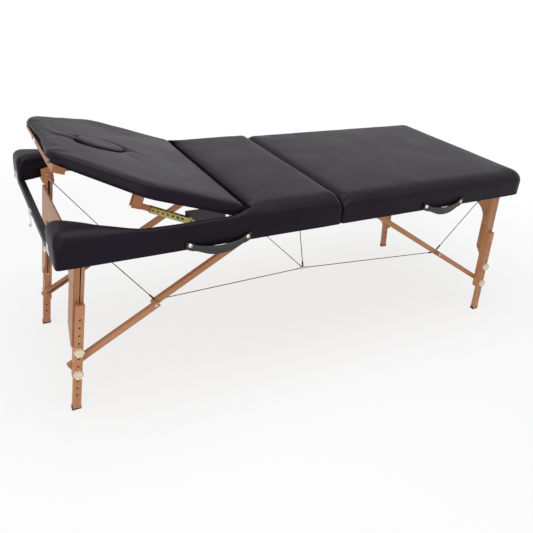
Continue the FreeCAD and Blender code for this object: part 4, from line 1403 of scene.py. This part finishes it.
@dataclass(frozen=True)
class CableNet:
    """The wire ropes under the bed that hold both leg ends open, joined below the fold."""

    head_leg: Route = (
        (-0.8329, 0.2285, 0.618), (-0.6191, 0.2142, 0.3466), (-0.608, 0.2135, 0.3325),
    )
    foot_leg: Route = ((0.8362, 0.299, 0.618), (0.6216, 0.2847, 0.3514), (0.6103, 0.284, 0.3374))
    head_span: Route = ((-0.013, 0.2, 0.326), (-0.59, 0.2, 0.3182), (-0.608, 0.2, 0.318))
    foot_span: Route = ((-0.003, 0.2, 0.326), (0.5924, 0.2684, 0.3182), (0.6103, 0.2705, 0.318))
    hanger: Route = ((-0.075, 0.2, 0.6465), (-0.0117, 0.2, 0.3486), (-0.008, 0.2, 0.331))
    cross: Route = ((-0.008, -0.195, 0.326), (-0.008, 0.177, 0.326), (-0.008, 0.195, 0.326))
    ring: Triple = (-0.008, 0.2, 0.326)
    ring_radius: float = 0.0052
    ring_wire: float = 0.0014

    def cables(self) -> list[Cable]:
        """Every cable, those of the near side mirrored from the far side."""
        found = [Cable("junction_cross_cable", "head_frame", "hanger_cables", self.cross)]
        for side in Side:
            tag = side.tag
            routes = (
                ("head_leg_cable", "head_frame", f"head_leg_cable_{tag}", self.head_leg),
                ("foot_leg_cable", "foot_frame", f"foot_leg_cable_{tag}", self.foot_leg),
                ("head_span_cable", "head_frame", "head_span_cables", self.head_span),
                ("foot_span_cable", "foot_frame", "foot_span_cables", self.foot_span),
                ("hanger_cable", "head_frame", "hanger_cables", self.hanger),
            )
            for name, body, node, points in routes:
                sided = tuple((x, y * side.value, z) for x, y, z in points)
                found.append(Cable(f"{name}_rope_{tag}", body, node, sided))
        return found

    def junction(self, side: Side, steel: Finish) -> Piece:
        """The ring that joins the ropes of one side."""
        centre = Vector((self.ring[0], self.ring[1] * side.value, self.ring[2]))
        bm = bmesh.new()
        bmesh.ops.create_circle(bm, segments=10, radius=self.ring_wire)
        for axis in "XZ":
            quarter = Matrix.Rotation(math.radians(90), 3, axis)
            bmesh.ops.rotate(bm, verts=bm.verts, cent=(0, 0, 0), matrix=quarter)
        bmesh.ops.translate(bm, verts=bm.verts, vec=(0.0, 0.0, self.ring_radius))
        bmesh.ops.spin(
            bm, geom=bm.verts[:] + bm.edges[:], cent=(0, 0, 0), axis=(0, 1, 0),
            angle=2.0 * math.pi, steps=24, use_merge=True,
        )
        bmesh.ops.translate(bm, verts=bm.verts, vec=centre)
        bmesh.ops.remove_doubles(bm, verts=bm.verts, dist=Cable.MERGE)
        bmesh.ops.recalc_face_normals(bm, faces=bm.faces)
        return link_mesh(f"junction_ring_{side.tag}", bm, steel)

    def build(self, finishes: Finishes) -> list[Piece]:
        """Make every cable and both rings."""
        made = [cable.build(finishes) for cable in self.cables()]
        for side in Side:
            ring = self.junction(side, finishes.steel)
            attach(ring, "head_frame")
            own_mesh(ring)
            made.append(ring)
        return made


@dataclass
class Strap:
    """A padded carrying strap with piped edges, held by a screw and a cup washer at each end."""

    node: str
    body: str
    cup_z: float = 0.608
    sag: float = 0.024
    reach: float = 0.0115
    width: float = 0.0275
    neck_width: float = 0.0190
    tab_width: float = 0.0250
    tab_share: float = 0.14
    tab_blend: float = 0.6
    belly_share: float = 0.40
    cord_band: tuple[float, float] = (0.50, 0.78)
    cord_growth: float = 5.0
    web_share: float = 0.62
    round_share: float = 0.42
    rim: float = 0.0008
    thick: float = 0.0070
    cup_inset: float = 0.012
    cup_radius: float = 0.0075
    cup_rise: float = 0.0034
    cup_taper: float = 0.62
    cup_rim: float = 0.0007
    screw_radius: float = 0.0040
    screw_rise: float = 0.0018
    stations: int = 40
    sides: int = 32

    def __post_init__(self) -> None:
        """Read the strap's ends from its node."""
        self.low, self.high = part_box(self.node)

    def middle(self, share: float) -> Vector:
        """The strap's middle line: out from the side and sagging."""
        swell = math.sin(math.pi * share)
        x = self.low.x + (self.high.x - self.low.x) * share
        y = self.high.y - self.reach * swell - self.thick / 2
        return Vector((x, y, self.cup_z - self.sag * swell))

    def outline(self, share: float, angle: float) -> Vector:
        """A point of the section: a flat band with a round cord along both edges."""
        swell = math.sin(math.pi * share)
        end = min(share, 1.0 - share)
        belly = smooth(self.tab_share, self.belly_share, end)
        width = self.neck_width + (self.width - self.neck_width) * belly
        past_tab = smooth(self.tab_blend * self.tab_share, self.tab_share, end)
        half = (self.tab_width + (width - self.tab_width) * past_tab) / 2
        up, out = math.sin(angle), math.cos(angle)
        corded = smooth(*self.cord_band, abs(up)) * min(1.0, self.cord_growth * swell)
        web = self.web_share + (1.0 - self.web_share) * corded
        depth = self.thick / 2 * web * min(1.0, abs(out) / self.round_share) ** 0.5
        return self.middle(share) + Vector((0.0, math.copysign(depth, -out), up * half))

    def strap(self, material: Finish) -> Piece:
        """The strap itself, drawn out from a bar."""
        bm = turned(Vector((0.0, 0.0, 0.0)), Vector((1.0, 0.0, 0.0)), 1.0, 1.0, 1.0, self.sides)
        long_edges = [edge for edge in bm.edges if edge.calc_length() > 0.5]
        bmesh.ops.subdivide_edges(bm, edges=long_edges, cuts=self.stations - 1, use_grid_fill=True)
        for vertex in bm.verts:
            vertex.co = self.outline(vertex.co.x, math.atan2(vertex.co.z, vertex.co.y))
        ease_rims(bm, self.rim)
        bmesh.ops.recalc_face_normals(bm, faces=bm.faces)
        return link_mesh(f"{self.node}_strap", bm, material)

    def fixing(self, share: float, finishes: Finishes) -> list[tuple[Piece, str]]:
        """A cup washer and its screw on one end of the strap.

        Args:
            share: place along the strap.
            finishes: the table's finishes.

        Returns:
            The pieces with their slots.
        """
        out = Vector((0.0, -1.0, 0.0))
        face = self.middle(share) + out * self.thick * self.web_share / 2
        face.z = self.cup_z
        tag = "head_end" if share < 0.5 else "foot_end"
        narrow = self.cup_taper * self.cup_radius
        cup = turned(face, out, self.cup_rise, self.cup_radius, narrow, 28)
        ease_rims(cup, self.cup_rim)
        screw = button(face + out * self.cup_rise, self.screw_radius, self.screw_rise, 20, 12)
        return [
            (link_mesh(f"{self.node}_cup_{tag}", cup, finishes.chrome), "chrome"),
            (link_mesh(f"{self.node}_screw_{tag}", screw, finishes.brass), "yellow_zinc"),
        ]

    def build(self, finishes: Finishes) -> Piece:
        """Make the handle.

        Args:
            finishes: the table's finishes.

        Returns:
            The strap, riding on its frame half.
        """
        strap = self.strap(finishes.strap)
        share = self.cup_inset / (self.high.x - self.low.x)
        pieces = [(strap, "strap")]
        for place in (share, 1.0 - share):
            pieces += self.fixing(place, finishes)
        for piece, slot in pieces:
            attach(piece, self.body)
        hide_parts(self.node)
        return strap


@dataclass(frozen=True)
class PackedPiece:
    """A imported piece: its finish, those of its fixings and wrapped faces, and its eased edges."""

    node: str
    finish: Finish
    fixings: Finish | None = None
    wrap: Finish | None = None
    wrapped: Callable[[Vector, Vector], bool] = lambda place, normal: False
    ease: float = 0.0012
    ease_angle: float = 40.0
    fixing_volume: float = 5e-5

    def dress(self) -> None:
        """Put the finishes on the piece and ease its edges."""
        node = FRAME["nodes"][self.node]
        mesh = node.data
        mesh.materials.clear()
        mesh.materials.append(self.finish)
        shade(mesh)
        for polygon in mesh.polygons:
            polygon.material_index = 0
        if self.fixings is not None:
            mesh.materials.append(self.fixings)
            for number in self.fixing_faces(mesh):
                mesh.polygons[number].material_index = 1
        if self.wrap is not None:
            mesh.materials.append(self.wrap)
            for polygon in mesh.polygons:
                if self.wrapped(polygon.center, polygon.normal):
                    polygon.material_index = len(mesh.materials) - 1
        weld = node.modifiers.new("weld", "WELD")
        weld.merge_threshold = TINY
        if self.ease > 0.0:
            bevel = node.modifiers.new("ease", "BEVEL")
            bevel.width = self.ease
            bevel.segments = 2
            bevel.limit_method = "ANGLE"
            bevel.angle_limit = math.radians(self.ease_angle)
        normals = node.modifiers.new("normals", "WEIGHTED_NORMAL")
        normals.keep_sharp = True

    def fixing_faces(self, mesh: bpy.types.Mesh) -> list[int]:
        """Numbers of the faces of every solid that is too small to be a wooden bar."""
        bm = bmesh.new()
        bm.from_mesh(mesh)
        number = bm.faces.layers.int.new("number")
        for face in bm.faces:
            face[number] = face.index
        bmesh.ops.remove_doubles(bm, verts=bm.verts, dist=TINY)
        found: list[int] = []
        waiting = set(bm.faces)
        while waiting:
            solid = [waiting.pop()]
            for face in solid:
                for edge in face.edges:
                    fresh = [other for other in edge.link_faces if other in waiting]
                    solid.extend(fresh)
                    waiting.difference_update(fresh)
            corners = ([vertex.co for vertex in face.verts[:3]] for face in solid)
            volume = sum(a.dot(b.cross(c)) for a, b, c in corners) / 6
            if abs(volume) < self.fixing_volume:
                found.extend(face[number] for face in solid)
        bm.free()
        return found


@dataclass(frozen=True)
class LegSet:
    """The wooden legs, braces and panel of one end, with the bolt heads at the knees."""

    end: End
    dome_radius: float = 0.0044
    dome_rise: float = 0.0010
    knee_inset: float = 0.010
    bar_step: float = 0.0175

    def dress(self, finishes: Finishes) -> None:
        """Put wood on the bars, its grain along each of them, and rubber on the feet."""
        name = self.end.value
        pivot = joint_place(f"{name}_leg_fold")
        low = joint_place(f"{name}_lower_brace_fold")
        top = joint_place(f"{name}_upper_brace_fold")
        leg_wood = finishes.timber(f"beech_{name}_legs", low - pivot)
        brace_wood = finishes.timber(f"beech_{name}_braces", low - top)
        across = Vector((0.0, 1.0, 0.0))
        plies = across.cross((low - pivot).normalized())
        panel_wood = finishes.timber(f"plywood_{name}_panel", across, ply_normal=tuple(plies))
        for node in ("upper_legs", "lower_legs"):
            PackedPiece(f"{name}_{node}", leg_wood).dress()
        PackedPiece(f"{name}_upper_braces", brace_wood).dress()
        PackedPiece(f"{name}_lower_braces", brace_wood, finishes.chrome).dress()
        PackedPiece(f"{name}_end_panel", panel_wood, ease=0.0008).dress()
        PackedPiece(f"{name}_rubber_feet", finishes.rubber, ease=0.0015).dress()
        for side in Side:
            for level in ("high", "low"):
                PackedPiece(f"{name}_knob_{side.tag}_{level}", finishes.cream).dress()

    def knee_bolt(self, side: Side, finishes: Finishes) -> Piece:
        """The low head of a knee's bolt on the outer face of the lower brace."""
        name = self.end.value
        low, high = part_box(f"{name}_upper_braces")
        knee_x = (low.x if self.end is End.HEAD else high.x) - self.end.sign * self.knee_inset
        knee_z = low.z + self.knee_inset
        place = Vector((knee_x, side.value * (high.y + self.bar_step), knee_z))
        bm = button(place, self.dome_radius, self.dome_rise, 24, 16)
        piece = link_mesh(f"{name}_knee_bolt_{side.tag}", bm, finishes.chrome)
        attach(piece, f"{name}_lower_braces")
        return piece


@dataclass(frozen=True)
class BedFrame:
    """The wooden frames, decks, backrest board and metal fittings of the bed."""

    along: Triple = (1.0, 0.0, 0.0)
    across: Triple = (0.0, 1.0, 0.0)
    upright: Triple = (0.0, 0.0, 1.0)
    fold_reach: float = 0.012
    coarse: float = 0.002
    small: float = 0.0006
    fine: float = 0.0004

    def at_fold(self, place: Vector) -> bool:
        """Whether a face lies at the fold between the halves."""
        return abs(place.x) < self.fold_reach

    def dress(self, finishes: Finishes) -> None:
        """Put a finish on every piece of the bed that is left showing."""
        rail_wood = finishes.timber("beech_rails", self.along)
        cross_wood = finishes.timber("beech_cross_rails", self.across)
        deck_wood = finishes.timber("plywood_deck", self.along, ply_normal=self.upright)
        turn = Backrest().turn
        face, footwards = turn @ Vector(self.upright), turn @ Vector(self.along)
        board_wood = finishes.timber("plywood_backrest", footwards, ply_normal=tuple(face))
        batten_wood = finishes.timber("beech_battens", footwards)
        low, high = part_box("strut_bars")
        strut_wood = finishes.timber("beech_struts", (low.x - high.x, 0.0, high.z - low.z))
        for end in End:
            PackedPiece(
                f"{end.value}_side_rails", rail_wood, ease=self.coarse, wrap=finishes.vinyl,
                wrapped=lambda place, normal: self.at_fold(place) and abs(normal.x) > 0.5,
            ).dress()
            PackedPiece(
                f"{end.value}_cross_rails", cross_wood, wrap=finishes.vinyl,
                wrapped=lambda place, normal: self.at_fold(place) and abs(normal.z) < 0.5,
            ).dress()
            PackedPiece(f"{end.value}_deck", deck_wood).dress()
            PackedPiece(f"{end.value}_pivot_blocks", rail_wood, finishes.steel).dress()
            PackedPiece(f"fold_hinge_{end.value}", finishes.steel, ease=self.fine).dress()
        PackedPiece("strut_mount", cross_wood, finishes.plastic).dress()
        PackedPiece("backrest_battens", batten_wood).dress()
        PackedPiece(
            "backrest_board", board_wood, wrap=finishes.vinyl, ease=0.0,
            wrapped=lambda _, normal: normal.dot(face) > -0.5 and normal.dot(footwards) > -0.9,
        ).dress()
        chrome = finishes.chrome
        eased = (
            (self.coarse, strut_wood, ("strut_bars",)),
            (self.small, batten_wood, ("prop_forks",)),
            (self.small, finishes.plastic, ("headrest_sockets",)),
            (self.fine, finishes.zinc, ("strut_channels",)),
            (self.fine, finishes.steel, ("seat_hinge_leaves", "backrest_hinge_leaves")),
            (self.fine, chrome, ("case_catches", "case_latch_bases", "case_latch_levers")),
            (self.fine, chrome, ("backrest_catch", "rail_latch_base", "rail_latch_lever")),
        )
        for ease, finish, nodes in eased:
            for node in nodes:
                PackedPiece(node, finish, ease=ease).dress()


@dataclass(frozen=True)
class Lamp:
    """A square soft box."""

    name: str
    place: Triple
    aim: Triple
    size: float
    power: float
    tint: Colour

    def build(self) -> None:
        """Hang the lamp and turn it to its aim."""
        data = bpy.data.lights.new(self.name, "AREA")
        data.shape = "SQUARE"
        data.size = self.size
        data.energy = self.power
        data.color = self.tint
        lamp = bpy.data.objects.new(self.name, data)
        lamp.location = self.place
        aim = Vector(self.aim) - Vector(self.place)
        lamp.rotation_euler = aim.to_track_quat("-Z", "Y").to_euler()
        bpy.context.scene.collection.objects.link(lamp)


@dataclass(frozen=True)
class Studio:
    """Camera, lamps, floor and backdrop."""

    focal_mm: float = 37.640
    sensor_mm: float = 36.0
    azimuth: float = -31.4428
    elevation: float = 29.1219
    roll: float = 5.4609
    station: Triple = (-1.1111, -1.7365, 1.3670)
    floor_half: float = 30.0
    floor_colour: Colour = (0.86, 0.86, 0.86)
    floor_glow: float = 0.74
    shadow_ring: tuple[float, float] = (1.2, 2.6)
    sky_fill: float = 0.55
    key: Lamp = Lamp("key", (-0.4, -0.4, 3.2), (0.0, 0.0, 0.5), 2.4, 60.0, (0.98, 0.98, 1.0))
    fill: Lamp = Lamp("fill", (-2.6, -3.0, 1.6), (-0.2, 0.0, 0.5), 1.8, 30.0, (1.0, 0.98, 0.96))
    WHITE = (1.0, 1.0, 1.0, 1.0)

    def camera(self) -> None:
        """Put the camera at the photograph's viewing angle."""
        azimuth, elevation = math.radians(self.azimuth), math.radians(self.elevation)
        back = Vector(
            (
                math.sin(azimuth) * math.cos(elevation),
                -math.cos(azimuth) * math.cos(elevation),
                math.sin(elevation),
            )
        )
        right = Vector((math.cos(azimuth), math.sin(azimuth), 0.0))
        up = back.cross(right)
        lean = math.radians(self.roll)
        tilted_right = right * math.cos(lean) + up * math.sin(lean)
        tilted_up = up * math.cos(lean) - right * math.sin(lean)
        turn = Matrix((tilted_right, tilted_up, back)).transposed().to_4x4()
        data = bpy.data.cameras.new("photo_camera")
        data.lens = self.focal_mm
        data.sensor_width = self.sensor_mm
        camera = bpy.data.objects.new("photo_camera", data)
        camera.matrix_world = Matrix.Translation(Vector(self.station)) @ turn
        bpy.context.scene.collection.objects.link(camera)
        bpy.context.scene.camera = camera

    def floor(self) -> None:
        """A plain floor that stays white to the camera and still takes the shadow."""
        bm = bmesh.new()
        bmesh.ops.create_grid(bm, x_segments=1, y_segments=1, size=self.floor_half)
        graph = Graph.of_material("studio_floor")
        away = graph.node("ShaderNodeVectorMath", {"operation": "LENGTH"}, [graph.place()], "Value")
        glow = away.step(*self.shadow_ring) * (1.0 - self.floor_glow) + self.floor_glow
        pale = graph.node("ShaderNodeBsdfDiffuse", None, {"Color": (*self.floor_colour, 1.0)})
        white = graph.node("ShaderNodeEmission", None, {"Color": self.WHITE, "Strength": 1.0})
        graph.finish(graph.node("ShaderNodeMixShader", None, [graph.seen() * glow, pale, white]))
        link_mesh("studio_floor", bm, graph.owner)

    def world(self) -> None:
        """White to the camera and in reflections, and a dimmer fill on the object."""
        world = bpy.data.worlds.new("studio")
        bpy.context.scene.world = world
        graph = Graph(world)
        levels = [graph.seen(), 0.0, 1.0, self.sky_fill, 1.0]
        strength = graph.node("ShaderNodeMapRange", None, levels)
        sky = graph.node("ShaderNodeBackground", None, {"Color": self.WHITE, "Strength": strength})
        graph.finish(sky, "ShaderNodeOutputWorld")

    def build(self) -> None:
        """Set the studio up."""
        bpy.context.scene.view_settings.view_transform = "Standard"
        self.camera()
        self.key.build()
        self.fill.build()
        self.floor()
        self.world()


def main() -> None:
    """Build and dress the table, piece by piece."""
    logging.basicConfig(level=logging.INFO, format="%(message)s")
    finishes = Finishes()
    Studio().build()
    made = CableNet().build(finishes)
    BedFrame().dress(finishes)
    for end in End:
        legs = LegSet(end)
        legs.dress(finishes)
        made += [legs.knee_bolt(side, finishes) for side in Side]
    made.append(Strap("head_handle", "head_frame").build(finishes))
    made.append(Strap("foot_handle", "foot_frame").build(finishes))
    fold_crease = Crease((0.023, -0.357, 0.676), (0.007, -0.369, 0.655))
    arm_crease = Crease((-0.909, -0.374, 0.677), (-0.925, -0.377, 0.656))
    pads = ("seat_pad", "arm_pads")
    foot = FootPad("foot_cushion", "foot_frame", ("foot_pad",), "foot_deck", (fold_crease,))
    head = HeadCover("seat_and_arms", "head_frame", pads, "head_deck", (arm_crease,))
    back = BackrestPad()
    vinyl = finishes.vinyl
    made += [foot.build(vinyl), head.build(vinyl), back.build(vinyl)]
    made += [FacePlug().build(back, vinyl), RailCover().build(vinyl)]
    for piece in made:
        LOG.info("%s: %d faces", piece.name, len(piece.data.polygons))


if __name__ == "__main__":
    main()
